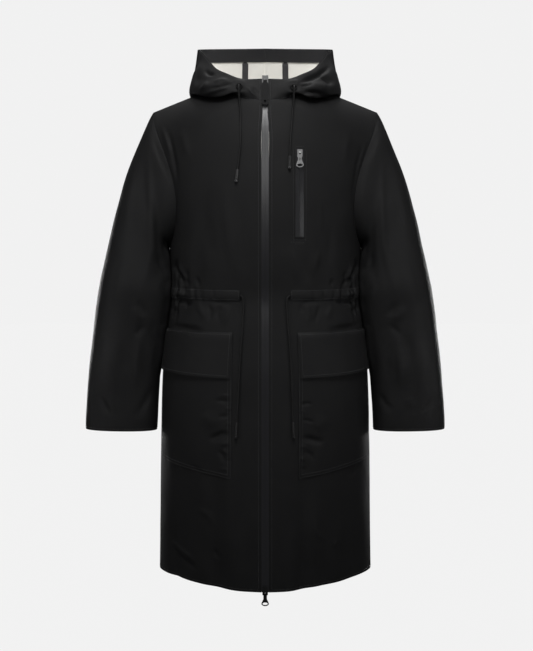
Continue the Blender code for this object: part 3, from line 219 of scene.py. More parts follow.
def inner_cloth():
    cloth = Finish("inner_cloth", Sheen_Weight=0.3, Sheen_Roughness=0.6, Specular_IOR_Level=0.3)
    place = cloth.place()
    knit = cloth.weave(place, KNIT_PITCH)
    cloud = cloth.mottle(place, CREAM_CLOUD_SIZE)
    cream = cloth.between(cloud, (0.63, 0.617, 0.575), (0.71, 0.697, 0.66))
    edge = cloth.add("ShaderNodeAttribute", {"attribute_name": "share_of_allowance"}, {}, "Fac")
    turned_in = cloth.add("ShaderNodeMath", {"operation": "LESS_THAN"}, {0: edge, 1: 1.0})
    sockets = {SHARE: turned_in, FIRST_COLOUR: cream, SECOND_COLOUR: TURNED_IN_BLACK}
    cloth.feed("Base Color", cloth.add("ShaderNodeMix", {"data_type": "RGBA"}, sockets, MIXED_COLOUR))
    cloth.feed("Roughness", 0.85 + knit * 0.1)
    cloth.relief(knit, 0.0003, 0.4)
    return cloth.paint


INNER = inner_cloth()
print("finish:", INNER.name)

# %% [markdown]
# ## Trims
# The rim's facing is a plain black tunnel of cloth, and the seam tapes are smooth strips that are ironed
# on. The zip's tapes have a rubbery coating with a soft grey shine. Under the long top pull the coating is
# rubbed matt, so a share that rises with the height above the slider makes it rougher there. `grained`
# makes every finish that one fine grain is enough for.

# %% Trim finishes
COATING_FILM_SIZE = 0.006
COATING_RIB_PITCH = 0.0016
RUBBED_FROM, RUBBED_TO = -0.062, -0.050


def grained(
    name, shine, size, dark, pale, rough, rougher, depth=0, strength=0.4, detail=3.0, metal=0, kind="Object"
):
    """A finish whose colour, roughness and relief follow one grain."""
    finish = Finish(name, Specular_IOR_Level=shine)
    grain = finish.mottle(finish.place(kind), size, detail)
    finish.feed("Base Color", finish.between(grain, dark, pale))
    finish.feed("Roughness", rough + grain * rougher)
    if metal:
        finish.feed("Metallic", metal + grain * 0.2)
    if depth:
        finish.relief(grain, depth, strength)
    return finish.paint


def trim_cloth():
    cloth = Finish("facing_cloth", Specular_IOR_Level=0.35)
    place = cloth.place()
    threads = cloth.weave(place, THREAD_PITCH)
    cloud = cloth.mottle(place, 0.02)
    cloth.feed("Base Color", cloth.between(cloud, (0.005, 0.005, 0.006), (0.009, 0.009, 0.010)))
    cloth.feed("Roughness", 0.62 + threads * 0.1)
    cloth.relief(threads, 0.0002, 0.3)
    return cloth.paint


def coated_tape():
    tape = Finish("coated_zip_tape", Specular_IOR_Level=0.5)
    place = tape.place("Object")
    height = tape.add("ShaderNodeSeparateXYZ", {}, {"Vector": place}, "Z")
    limits = {"Value": height, "From Min": RUBBED_FROM, "From Max": RUBBED_TO}
    rubbed = tape.add("ShaderNodeMapRange", {}, limits)
    film = tape.mottle(place, COATING_FILM_SIZE, 3.0)
    ribs = tape.bands(place, "Z", COATING_RIB_PITCH)
    tape.feed("Base Color", tape.between(film, (0.0025, 0.0025, 0.003), (0.004, 0.004, 0.005)))
    tape.feed("Roughness", 0.27 + film * 0.08 + rubbed * 0.62)
    tape.relief(ribs * 0.6 + film * 0.4, 0.00010, 0.3)
    return tape.paint


FACING, ZIP_COATING = trim_cloth(), coated_tape()
TAPE_DARK, TAPE_PALE = (0.020, 0.019, 0.022), (0.034, 0.033, 0.036)
SEAM_TAPE = grained("seam_tape", 0.45, 0.004, TAPE_DARK, TAPE_PALE, 0.38, 0.14, 0.0003, 0.3, kind="UV")
print("finishes:", FACING.name, SEAM_TAPE.name, ZIP_COATING.name)

# %% [markdown]
# ## Cast and moulded pieces
# The sliders are cast metal with a thin paint that lets the metal shine through. The chest zip's paint is
# pale.
# The neck's slider gets a grey, duller copy, and the hem's slider and pull get a dark copy; their darker
# tone is painted shade. The long top pull is rubber. The hood's cord ends are shiny plastic and the waist's
# are matt.
# One paint bath and one mould make them all, so two functions do too.

# %% Hard finishes


def grey(value):
    return (value, value, value)


def painted_metal(name, dark, pale, rough=0.24, metal=0.75):
    return grained(name, 0.5, 0.0012, grey(dark), grey(pale), rough, 0.18, 0.00008, detail=4.0, metal=metal)


def end_plastic(name, tone, shine, rough):
    return grained(name, shine, 0.003, grey(tone), grey(2 * tone), rough, 0.16)


SLIDER_PAINT = painted_metal("painted_slider", 0.065, 0.13)
# Darker copies of the slider paint for the neck and the hem: their darker tone is painted shade.
NECK_PAINT_WITH_PAINTED_SHADE = painted_metal("slider_paint_grey_painted_shade", 0.020, 0.045, rough=0.50, metal=0.30)
HEM_PAINT_WITH_PAINTED_SHADE = painted_metal("slider_paint_dark_painted_shade", 0.012, 0.030)
RUBBER_DARK, RUBBER_PALE = (0.0018, 0.0018, 0.002), (0.0034, 0.0034, 0.0038)
PULL_RUBBER = grained("pull_rubber", 0.06, 0.0008, RUBBER_DARK, RUBBER_PALE, 0.52, 0.15, 0.00012)
SHINY_PLASTIC = end_plastic("cord_end_shiny", 0.010, shine=0.55, rough=0.22)
MATT_PLASTIC = end_plastic("cord_end_matt", 0.003, shine=0.18, rough=0.42)
print("finishes: three paints,", PULL_RUBBER.name, SHINY_PLASTIC.name, MATT_PLASTIC.name)

# %% [markdown]
# ## The two faces of a sheet
# A CAD sheet has an outer face, an inner face and a thin rim. A cloth piece needs only the outer one. It
# could be picked by its normals, but those turn right round on a sleeve. So the faces are grouped by the
# sharp edges round the rim, and the rim's narrow groups are dropped.

# %% Groups of faces
SHARP = math.radians(50)
RIM_WIDTH = 0.0027


def flood(work):
    """Groups of faces that no sharp edge divides, and the group of each face."""
    group_of = {}
    groups = []
    for first in work.faces:
        if first in group_of:
            continue
        group_of[first] = len(groups)
        waiting = [first]
        found = []
        while waiting:
            face = waiting.pop()
            found.append(face)
            for edge in face.edges:
                if edge.calc_face_angle(0) > SHARP:
                    continue
                for other in edge.link_faces:
                    if other not in group_of:
                        group_of[other] = len(groups)
                        waiting.append(other)
        groups.append(found)
    return groups, group_of


def broad_groups(groups, group_of):
    """The groups that are wider than the rim."""
    broad = []
    for index, faces in enumerate(groups):
        area = sum(face.calc_area() for face in faces)
        edges = [edge for face in faces for edge in face.edges]
        border = sum(e.calc_length() for e in edges if any(group_of[f] != index for f in e.link_faces))
        if border == 0 or 2 * area / border > RIM_WIDTH:
            broad.append(index)
    return broad


print("a group is a rim when it is narrower than", RIM_WIDTH / MM, "mm")

# %% [markdown]
# ## The outer face as a new piece
# Of a sheet's two broad faces the larger one is the outer one, because the coat is rounded everywhere. Its
# loose triangles are merged and joined to four-sided cells, which a subdivision can round.

# %% Outer face


def largest_side(work):
    """The faces of the larger of a sheet's two broad faces."""
    groups, group_of = flood(work)
    side = {index: index for index in broad_groups(groups, group_of)}
    for edge in work.edges:
        first, second = (group_of[face] for face in edge.link_faces)
        if first in side and second in side and side[first] != side[second]:
            kept, lost = side[first], side[second]
            side = {index: kept if where == lost else where for index, where in side.items()}
    size = {}
    for index, where in side.items():
        size[where] = size.get(where, 0) + sum(face.calc_area() for face in groups[index])
    outer = max(size, key=size.get)
    return {face for face in work.faces if side.get(group_of[face]) == outer}


def outer_face(node):
    """The outer face of a CAD sheet as a new piece with four-sided cells."""
    work = bmesh.new()
    work.from_mesh(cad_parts[node].data)
    bmesh.ops.remove_doubles(work, verts=work.verts, dist=1e-6)
    outer = largest_side(work)
    rest = [face for face in work.faces if face not in outer]
    bmesh.ops.delete(work, geom=rest, context="FACES")
    bmesh.ops.join_triangles(
        work,
        faces=work.faces,
        angle_face_threshold=math.pi,
        angle_shape_threshold=math.pi,
        topology_influence=1.5,
    )
    mesh = bpy.data.meshes.new(node + "_cloth")
    work.to_mesh(mesh)
    work.free()
    piece = bpy.data.objects.new(node + "_cloth", mesh)
    bpy.context.scene.collection.objects.link(piece)
    return piece


print("outer faces have four-sided cells")

# %% [markdown]
# ## Points in one array
# Folds move thousands of points. A loop over them would be slow, so they are read into one array, moved
# there as a whole, and written back.

# %% Points of a mesh


def read_rows(mesh, what):
    rows = np.zeros(len(mesh.vertices) * 3)
    mesh.vertices.foreach_get(what, rows)
    return rows.reshape(-1, 3)


def read_points(mesh):
    return read_rows(mesh, "co")


def write_points(mesh, points):
    mesh.vertices.foreach_set("co", points.ravel())
    mesh.update()


print("points are rows of x, y and z in metres")

# %% [markdown]
# ## The flat cut
# A maker cuts each panel flat and then sews it. Unwrapping goes the other way: it lays the finished panel
# flat again, which gives its weave the right size and direction, and gives the size of its cut. A sleeve is
# a tube, so it is first slit along the underarm, where its real seam is.

# %% Unwrapping
CUFF_REACH = 0.05


def slit_underarm(work):
    """Marks the seam of a tube: the line of edges up from the cuff's innermost corner."""
    border = [v for v in work.verts if v.is_boundary]
    low = min(v.co.z for v in border)
    cuff = [v for v in border if v.co.z < low + CUFF_REACH]
    here = min(cuff, key=lambda v: abs(v.co.x))
    edge = next(e for e in here.link_edges if not e.is_boundary)
    while edge is not None:
        edge.seam = True
        here = edge.other_vert(here)
        if here.is_boundary:
            break
        beside = set(edge.link_faces)
        edge = next((e for e in here.link_edges if e != edge and not beside & set(e.link_faces)), None)


def unwrap(piece):
    """Lays the piece's faces flat, and gives the flat place of each face's corners."""
    mesh = piece.data
    mesh.uv_layers.new(name="cut")
    bpy.ops.object.select_all(action="DESELECT")
    piece.select_set(True)
    bpy.context.view_layer.objects.active = piece
    bpy.ops.object.mode_set(mode="EDIT")
    bpy.ops.mesh.select_all(action="SELECT")
    bpy.ops.uv.unwrap(method="CONFORMAL", margin=0.0)
    bpy.ops.object.mode_set(mode="OBJECT")
    piece.select_set(False)
    flat = np.zeros(len(mesh.loops) * 2)
    mesh.uv_layers["cut"].data.foreach_get("uv", flat)
    return flat.reshape(-1, 2)


print("a cuff lies within", CUFF_REACH / MM, "mm of the lowest edge")

# %% [markdown]
# ## True size, upright
# An unwrapped cut has no size of its own. It is scaled until its area is the panel's real area, and turned
# until height on the coat rises straight up the cut, which is the way that the threads run.

# %% Flat cuts
CUTS = {}


def flat_area(mesh, flat):
    """The area of all faces in their flat places."""
    covered = 0.0
    for face in mesh.polygons:
        outline = flat[list(face.loop_indices)]
        after = np.roll(outline, -1, axis=0)
        covered += abs((outline[:, 0] * after[:, 1] - outline[:, 1] * after[:, 0]).sum()) / 2
    return covered


def upright(mesh, flat):
    """The flat places, turned so that the panel's length is upright."""
    corners = np.zeros(len(mesh.loops), int)
    mesh.loops.foreach_get("vertex_index", corners)
    height = read_points(mesh)[corners, 2]
    sums = np.column_stack([flat, np.ones(len(flat))])
    slope = np.linalg.lstsq(sums, height, rcond=None)[0][:2]
    turn = math.atan2(slope[0], slope[1])
    return flat @ np.array([[math.cos(turn), math.sin(turn)], [-math.sin(turn), math.cos(turn)]])


def lay_flat(piece, tube=False):
    """Gives the piece its flat cut in real metres, and notes the cut's width, length and area."""
    mesh = piece.data
    work = bmesh.new()
    work.from_mesh(mesh)
    if tube:
        slit_underarm(work)
    area = sum(face.calc_area() for face in work.faces)
    work.to_mesh(mesh)
    work.free()
    flat = unwrap(piece)
    flat *= math.sqrt(area / flat_area(mesh, flat))
    flat = upright(mesh, flat)
    flat -= flat.min(axis=0)
    mesh.uv_layers["cut"].data.foreach_set("uv", flat.ravel())
    CUTS[piece.name] = (*flat.max(axis=0), area)


print("cuts laid flat so far:", len(CUTS))

# %% [markdown]
# ## Folds of the fronts
# A fold could be sculpted, but a line can be set against the photograph and changed. Each row is one fold,
# placed where the photograph shows it. It starts with the fold's half width and its depth, and goes
# on with the x and z of the points of its line, all in millimetres. A ridge has a positive depth and a
# trough a negative one. All are soft, because coated cloth bends in rolls and doesn't crease sharply.

# %% Folds of the fronts


def seen_from(side, *rows):
    return tuple((side, *row) for row in rows)


BODY_FOLDS = seen_from(
    "front",
    (4, -4.0, -224, -87, -213, -134, -196, -173, -182, -207, -179, -252),
    (5, -3.0, -199, -83, -189, -126, -181, -166, -175, -220),
    (5, 1.8, -214, -78, -196, -126, -185, -162),
    (8, 1.6, -171, -92, -162, -121, -151, -157),
    (10, 2.2, -77, -193, -77, -265, -69, -324, -59, -377, -56, -413),
    (9, -1.6, -47, -216, -45, -295, -44, -383),
    (12, -1.5, -119, -246, -109, -315, -101, -370),
    (4.5, -6.0, -178, -350, -184, -372, -170, -390, -160, -412),
    (4, -3.5, -157, -372, -159, -396, -151, -414),
    (4, 2.5, -176, -361, -168, -384, -155, -402),
    (3.5, -2.5, -138, -387, -130, -411),
    (6, 2.0, -138, -439, -124, -462, -118, -478),
    (4, -2.5, -114, -438, -108, -458, -112, -477),
    (4, -2.2, -85, -437, -95, -461, -89, -484),
    (5, 2.0, -73, -439, -77, -464, -85, -488),
    (5, -4.0, -196, -449, -181, -463, -190, -482),
    (5, -6.0, -198, -492, -166, -492, -118, -497),
    (5, 3.5, -190, -431, -170, -423, -150, -431),
    (4, -5.0, -192, -440, -166, -440, -157, -446, -138, -438),
    (4, -2.0, -120, -438, -85, -438, -62, -443),
    (4, -4.0, 226, -87, 212, -128, 197, -161, 187, -201, 180, -256),
    (5, -3.0, 199, -116, 186, -166, 180, -216, 178, -264),
    (5, 1.8, 210, -105, 195, -152, 183, -197),
    (8, 1.6, 170, -92, 161, -137, 157, -173),
    (8, 1.8, 53, -318, 59, -369, 65, -409),
    (6, 1.4, 108, -226, 110, -279, 109, -315),
    (6, 1.8, 107, -331, 101, -358, 95, -386),
    (7, -1.6, 79, -334, 81, -370, 85, -405),
    (8, -1.5, 133, -266, 129, -325, 121, -379),
    (4.5, -6.0, 184, -350, 188, -370, 176, -390, 164, -410),
    (4, -3.5, 160, -376, 163, -398, 152, -414),
    (4, 2.5, 178, -361, 171, -385, 158, -402),
    (3.5, -2.2, 135, -391, 131, -411),
    (6, 2.0, 138, -443, 125, -462, 131, -478),
    (4, -2.5, 113, -438, 105, -459, 97, -483),
    (5, 1.8, 83, -437, 87, -463, 81, -486),
    (4, -2.0, 69, -439, 73, -460),
    (5, -4.0, 195, -447, 180, -460, 187, -479),
    (5, -5.2, 120, -495, 161, -493, 197, -488),
    (5, 3.2, 192, -429, 172, -424, 154, -430),
    (4, -4.6, 194, -440, 170, -443, 150, -441, 136, -437),
    (4, -2.0, 118, -439, 86, -437, 64, -442),
    (12, 1.6, -20, -530, -20, -688, -22, -847, -22, -1001),
    (12, 1.6, 23, -574, 23, -708, 25, -867, 26, -1000),
    (13, -2.0, -44, -629, -44, -768, -44, -888, -42, -998),
    (13, -2.0, 51, -669, 51, -808, 49, -929, 50, -998),
    (14, 1.6, -70, -830, -86, -913, -99, -986),
    (16, -1.4, -127, -816, -121, -898, -132, -983),
    (14, 1.4, 81, -832, 94, -914, 106, -986),
    (16, -1.4, 143, -819, 135, -900, 148, -986),
    (5, 2.6, -201, -934, -171, -951, -140, -968),
    (6, -2.6, -188, -956, -162, -971, -136, -986),
    (5, 1.8, 100, -860, 102, -899, 125, -929),
    (5, 1.4, 146, -918, 139, -940),
    (6, 1.6, -140, -855, -115, -866, -103, -887),
    (5, -1.8, -103, -933, -91, -955),
    (5, 1.8, -205, -762, -182, -772, -160, -789),
    (5, -2.0, 199, -768, 186, -786, 164, -798),
)
print("folds of the fronts:", len(BODY_FOLDS))

# %% [markdown]
# ## Folds of the sleeves
# A sleeve hangs in long soft rolls from the shoulder, and breaks at the elbow, where its lower half turns
# outwards. The last rows are the dark pockets of shadow beside the body.

# %% Folds of the sleeves
SLEEVE_FOLDS = seen_from(
    "front",
    (4, -4.0, -233, -82, -219, -131, -200, -172, -185, -206, -181, -252),
    (7, 3.0, -240, -106, -235, -176, -230, -256, -228, -332, -238, -381, -250, -417, -265, -445),
    (9, -3.5, -218, -196, -216, -266, -213, -337, -217, -408, -229, -448),
    (6, -2.4, -256, -436, -248, -458, -238, -470),
    (7, 2.6, -266, -446, -259, -468, -248, -484),
    (6, -2.2, -238, -488, -254, -498, -262, -516),
    (7, 2.6, -258, -494, -259, -540, -261, -585, -264, -627),
    (8, -2.5, -244, -509, -243, -561, -242, -611),
    (20, 2.8, -322, -520, -320, -575, -300, -630, -296, -660),
    (10, -2.4, -290, -515, -287, -556, -288, -597),
    (5, -3.2, -340, -630, -328, -657, -314, -677),
    (6, -3.6, -232, -614, -244, -646, -258, -670, -276, -681),
    (9, 1.6, -322, -628, -306, -652, -296, -668),
    (8, 1.5, -267, -175, -278, -256, -285, -336),
    (9, -1.6, -297, -337, -309, -417, -315, -498),
    (5, -4.0, -213, -341, -208, -369, -201, -392),
    (5, 2.0, -213, -381, -217, -418, -208, -451),
    (5, -2.5, -222, -475, -230, -503, -219, -534),
    (4, -4.0, 234, -82, 218, -125, 201, -160, 191, -200, 183, -256),
    (7, 3.0, 241, -135, 236, -196, 236, -260, 240, -328, 250, -377, 262, -417, 276, -443),
    (9, -3.5, 217, -196, 215, -266, 214, -337, 219, -408, 231, -450),
    (6, -2.4, 266, -438, 256, -458, 245, -472),
    (7, 2.6, 282, -446, 272, -468, 256, -482),
    (6, -2.2, 248, -486, 264, -498, 274, -514),
    (7, 2.6, 273, -494, 272, -539, 275, -585, 277, -626),
    (8, -2.5, 253, -509, 250, -561, 249, -611),
    (20, 2.8, 322, -515, 326, -565, 316, -615, 306, -650),
    (10, -2.2, 289, -502, 294, -547, 297, -593),
    (5, -3.0, 232, -626, 246, -652, 264, -670),
    (5.5, -2.6, 352, -626, 336, -652, 320, -674),
    (9, 1.4, 290, -634, 302, -662),
    (8, 1.4, 270, -185, 281, -266, 288, -336),
    (9, -1.6, 297, -347, 313, -417, 322, -488),
    (5, -4.0, 214, -341, 211, -369, 198, -387),
    (5, 2.0, 216, -381, 220, -418, 211, -447),
)
print("folds of the sleeves' fronts:", len(SLEEVE_FOLDS))

# %% [markdown]
# ## Folds of the hood
# The hood lies on the shoulders, so its sides sag into rolls. The short troughs beside the eyelets are
# where the drawcord pulls the cloth in.

# %% Folds of the hood
HOOD_FOLDS = seen_from(
    "front",
    (7.6, -3.2, -50, -8, -50, -24),
    (3.8, 3.8, -62, -8, -56, 1, -44, 1, -38, -10),
    (3.8, 3.2, -64, -14, -85, -17, -106, -22, -127, -27),
    (3.3, -4.5, -62, -8, -77, -7, -93, -13, -116, -18),
    (3.8, 3, -70, 1, -88, 1, -106, -4),
    (3.8, -4.2, -124, 26, -113, 16, -98, 13),
    (6.6, -2.7, -139, 40, -138, 10, -142, -11),
    (3.8, 3, -114, 3, -122, -11, -137, -19),
    (7.6, -3.2, 56, -8, 57, -24),
    (3.8, 3.8, 43, -10, 49, -1, 61, -1, 67, -12),
    (4.8, -7.5, 63, -7, 85, 3, 106, 13, 123, 26, 136, 43),
    (5.7, -6, 106, 11, 122, 6, 139, -7),
    (9.5, 5.4, 77, -19, 97, -13, 117, -16, 134, -24),
    (2.8, -3.8, 69, -12, 85, -9, 97, -7),
    (3.3, -4.5, 70, -29, 84, -23, 101, -24, 117, -29),
    (3.8, 3.8, 74, -33, 95, -29, 116, -34),
    (4.8, 2.7, 97, 59, 107, 29, 114, 21),
    (2.8, 1.8, -36, -12, -26, -26, -14, -36),
    (2.8, -1.8, -26, -10, -18, -24, -8, -32),
)
print("folds of the hood's front:", len(HOOD_FOLDS))

# %% [markdown]
# ## Puckers at the waist
# The drawcord gathers the sides of the waist into many small upright puckers. Each row says its side, its
# place across, its lean, its half width, its depth, and its top and bottom. A function bends each line in
# the middle, at the cord. Drawn lines would say the same with three times the numbers.

# %% Puckers at the waist
CORD_HEIGHT = -424
PUCKERS = (
    (-1, 194, 3, 3.2, -3.4, -392, -452),
    (-1, 186, 2, 3.0, 2.2, -398, -446),
    (-1, 178, -3, 3.0, -3.0, -400, -456),
    (-1, 169, 3, 3.2, 2.0, -396, -442),
    (-1, 160, 2, 2.8, -2.6, -404, -450),
    (-1, 150, -2, 3.4, 1.6, -402, -440),
    (-1, 141, 2, 2.8, -2.0, -406, -444),
    (-1, 127, 2, 3.4, -1.4, -408, -446),
    (-1, 104, -2, 3.0, -1.2, -408, -440),
    (1, 195, 2, 3.2, -3.2, -394, -450),
    (1, 185, 3, 3.2, 2.2, -396, -448),
    (1, 175, -2, 3.0, -3.2, -402, -452),
    (1, 166, 2, 3.2, 2.0, -398, -440),
    (1, 156, -3, 2.8, -2.4, -402, -454),
    (1, 147, 2, 3.2, 1.6, -404, -438),
    (1, 137, 2, 2.8, -1.8, -406, -446),
    (1, 119, -2, 3.4, -1.4, -410, -442),
    (1, 96, 2, 3.0, -1.2, -408, -444),
)


def pucker(side, x, lean, width, depth, top, bottom):
    return (width, depth, side * x, top, side * (x + lean), CORD_HEIGHT, side * (x - lean), bottom)


BODY_FOLDS += seen_from("front", *(pucker(*row) for row in PUCKERS))
print("puckers:", len(PUCKERS))

# %% [markdown]
# ## Folds on the hidden sides
# The photograph shows no back, so these lines are what gathered cloth does there: long soft folds fall from
# the waist's drawcord and the shoulder blades, the sleeves bend behind the elbow, and the hood sags.

# %% Folds of the back
BODY_FOLDS += seen_from(
    "back",
    (14, 2.4, -128, -130, -112, -240, -96, -380),
    (15, -1.8, -86, -150, -70, -260, -62, -390),
    (15, 2.0, 74, -170, 84, -280, 82, -395),
    (13, -1.6, 118, -150, 124, -260, 118, -380),
    (16, -2.2, 6, -210, -4, -300, 2, -392),
    (5, -2.6, -146, -374, -141, -404, -147, -452),
    (5, 2.2, -122, -380, -124, -410, -119, -458),
    (4, -2.4, -97, -384, -94, -412, -99, -446),
    (5, 1.8, -66, -376, -70, -408, -64, -460),
    (5, -2.2, -38, -386, -34, -414, -39, -450),
    (5, 2.0, -8, -378, -10, -410, -4, -464),
    (4, -2.4, 22, -384, 26, -410, 20, -448),
    (5, 1.7, 50, -380, 47, -414, 54, -456),
    (5, -2.4, 82, -376, 86, -408, 79, -454),
    (5, 2.2, 110, -384, 108, -412, 114, -462),
    (4, -2.6, 139, -378, 143, -408, 138, -448),
    (16, 3.0, -124, -470, -138, -640, -144, -850, -140, -980),
    (20, -3.0, -84, -480, -92, -660, -96, -860, -98, -985),
    (17, 2.6, -40, -470, -46, -600, -52, -780, -50, -940),
    (22, -2.6, 8, -500, 4, -690, -2, -880, 0, -985),
    (16, 3.0, 58, -474, 64, -640, 70, -820, 74, -975),
    (18, -2.8, 104, -490, 114, -650, 118, -840, 120, -980),
    (5, -3.0, -196, -350, -186, -382, -168, -408),
)
SLEEVE_FOLDS += seen_from(
    "back",
    (8, 2.8, -246, -130, -244, -230, -252, -320, -272, -400),
    (6, -3.4, -222, -318, -248, -338, -282, -342),
    (6, 2.6, -226, -340, -254, -358, -288, -362),
    (6, -3.0, -232, -366, -262, -384, -300, -384),
    (7, -2.6, -258, -440, -262, -520, -272, -600),
    (8, 2.4, -292, -450, -298, -540, -300, -630),
    (5, -3.2, -238, -640, -262, -668, -292, -676),
    (8, 2.8, 248, -126, 246, -224, 250, -318, 268, -396),
    (6, -3.2, 220, -324, 250, -340, 284, -338),
    (6, 2.6, 224, -346, 256, -362, 292, -358),
    (6, -2.8, 234, -372, 266, -388, 296, -382),
    (7, -2.6, 262, -446, 264, -530, 276, -610),
    (8, 2.2, 296, -440, 300, -540, 306, -620),
)
HOOD_FOLDS += seen_from(
    "back",
    (9, -3.4, -128, 52, -96, 22, -52, -2),
    (9, 2.8, -120, 24, -88, -4, -46, -26),
    (10, -3.0, 126, 48, 92, 16, 54, -8),
    (9, 2.6, 118, 20, 86, -8, 48, -30),
    (7, -2.2, -134, -6, -100, -24, -60, -40),
    (7, -2.0, 132, -8, 98, -30, 56, -44),
)
print("folds with the back:", len(BODY_FOLDS) + len(SLEEVE_FOLDS) + len(HOOD_FOLDS))

# %% [markdown]
# ## Ripples of the pockets
# A pocket is stitched down on three sides. The thread is tighter than the cloth, so short ripples run in
# from the inner edge, and a few larger ones hang where the empty bag sags.

# %% Ripples of the pockets
POCKET_FOLDS = seen_from(
    "front",
    (2.6, 1.1, -67, -622, -82, -621, -90, -624),
    (4.2, -2.0, -69, -634, -86, -632, -101, -631),
    (2.6, 1.3, -67, -647, -80, -648),
    (4.0, -1.6, -69, -661, -80, -662, -94, -666),
    (2.4, 1.2, -68, -676, -78, -678),
    (14, 2.2, -128, -658, -108, -674, -94, -686),
    (6.5, -4.2, -66, -696, -85, -699, -101, -707, -116, -711),
    (4.0, 1.8, -68, -716, -80, -717, -92, -722),
    (4.6, -2.0, -96, -728, -84, -742, -79, -760),
    (3.2, 1.6, -84, -728, -74, -738),
    (2.6, -1.4, -68, -749, -76, -752),
    (2.6, 1.3, -70, -770, -84, -768, -92, -772),
    (5.0, -1.8, -152, -766, -138, -776, -122, -781),
    (3.4, -2.0, 69, -640, 84, -637, 96, -639),
    (2.4, 1.2, 69, -652, 80, -654),
    (3.2, -1.8, 70, -668, 84, -671, 98, -676),
    (13, 2.0, 124, -664, 110, -680, 98, -694),
    (6.0, -3.6, 69, -704, 88, -708, 104, -714, 122, -715),
    (2.6, 1.5, 70, -722, 82, -724),
    (4.8, -2.0, 74, -730, 90, -740, 98, -756),
    (3.0, 1.6, 70, -744, 80, -754),
    (2.6, -1.3, 70, -766, 82, -770),
)
print("ripples of the pockets:", len(POCKET_FOLDS))

# %% [markdown]
# ## How a fold moves the cloth
# For each point the nearest place of the fold's line gives two numbers: how far the point lies from the
# line, and how far along the line it is. The first shapes the roll across, the second fades out both ends.
# A displacement image could do this, but it would need a picture file. Slight noise is added, because no
# hanging cloth is quite even.

# %% Fold heights
FADED_SHARE = 0.4


def fade(share, ends):
    """1 along the middle of a line and 0 at its ends, with soft ends."""
    near_end = np.clip(np.minimum(share, 1 - share) / ends, 0, 1)
    return near_end * near_end * (3 - 2 * near_end)


def nearest_on_line(flat, line):
    """Distance of each flat point from a line, and its place along the line from 0 to 1."""
    starts, ends = line[:-1], line[1:]
    runs = ends - starts
    lengths = np.linalg.norm(runs, axis=1)
    before = np.concatenate([[0], np.cumsum(lengths)])
    best = np.full(len(flat), np.inf)
    along = np.zeros(len(flat))
    for start, run, length, done in zip(starts, runs, lengths, before):
        at = np.clip(((flat - start) @ run) / length**2, 0, 1)
        away = np.linalg.norm(flat - start - at[:, None] * run, axis=1)
        closer = away < best
        best[closer] = away[closer]
        along[closer] = (done + at[closer] * length) / before[-1]
    return best, along


def fold_heights(points, normals, folds):
    """How far each point moves out for a table of folds, in metres."""
    height = np.zeros(len(points))
    for side, width, depth, *line in folds:
        away, along = nearest_on_line(points[:, [0, 2]], np.array(line).reshape(-1, 2) * MM)
        facing = normals[:, 1] if side == "back" else -normals[:, 1]
        there = np.clip(0.5 + 1.5 * facing, 0, 1)
        height += depth * MM * np.exp(-((away / (width * MM)) ** 2)) * fade(along, FADED_SHARE) * there
    return height


def undulation(points, size, depth, seed):
    """A slight unevenness, with patches of the given size."""
    shift = Vector((seed, 2.3 * seed, 0.7 * seed))
    return np.array([noise.noise(Vector(p) / size + shift) for p in points]) * depth


print("rows of folds in all:", len(BODY_FOLDS) + len(SLEEVE_FOLDS) + len(HOOD_FOLDS) + len(POCKET_FOLDS))

# %% [markdown]
# ## Rounding a piece
# The CAD sheet is made of flat strips. A plain subdivision would round it but shrink it too, so the corners
# are first moved out until the rounded piece passes through the old ones. Then long cells are divided, so
# that folds have points to bend at.

# %% Rounding
ROUNDS_OF_FITTING = 3
ROUNDS_OF_DIVIDING = 4


def run_modifier(piece, kind, **settings):
    made = piece.modifiers.new(kind.lower(), kind)
    for setting, value in settings.items():
        setattr(made, setting, value)
    bpy.context.view_layer.objects.active = piece
    piece.select_set(True)
    bpy.ops.object.modifier_apply(modifier=made.name)
    piece.select_set(False)


def round_off(piece, levels=2):
    """Subdivides the piece so that its old corners stay where they were."""
    mesh = piece.data
    wanted = read_points(mesh)
    settings = {"levels": levels, "render_levels": levels, "boundary_smooth": "PRESERVE_CORNERS"}
    preview = piece.modifiers.new("preview", "SUBSURF")
    for setting, value in settings.items():
        setattr(preview, setting, value)
    for _ in range(ROUNDS_OF_FITTING):
        seen = piece.evaluated_get(bpy.context.evaluated_depsgraph_get()).data
        write_points(mesh, read_points(mesh) + wanted - read_points(seen)[: len(wanted)])
    piece.modifiers.remove(preview)
    run_modifier(piece, "SUBSURF", **settings)


def divide_long_cells(piece, longest):
    """Cuts cells across their long sides, so that folds have points to bend at."""
    for _ in range(ROUNDS_OF_DIVIDING):
        work = bmesh.new()
        work.from_mesh(piece.data)
        long = [edge for edge in work.edges if edge.calc_length() > longest]
        if long:
            bmesh.ops.subdivide_edges(work, edges=long, cuts=1, use_grid_fill=True)
            work.to_mesh(piece.data)
        work.free()
        if not long:
            break


print("rounds of fitting:", ROUNDS_OF_FITTING)

# %% [markdown]
# ## Edges and seams
# A seam is where two pieces' edges meet. Each edge is followed as a line of points, each with the direction
# that leads into the cloth. That direction moves the edge out until the pieces meet, and later it places
# the stitches beside the edge.

# %% Edges


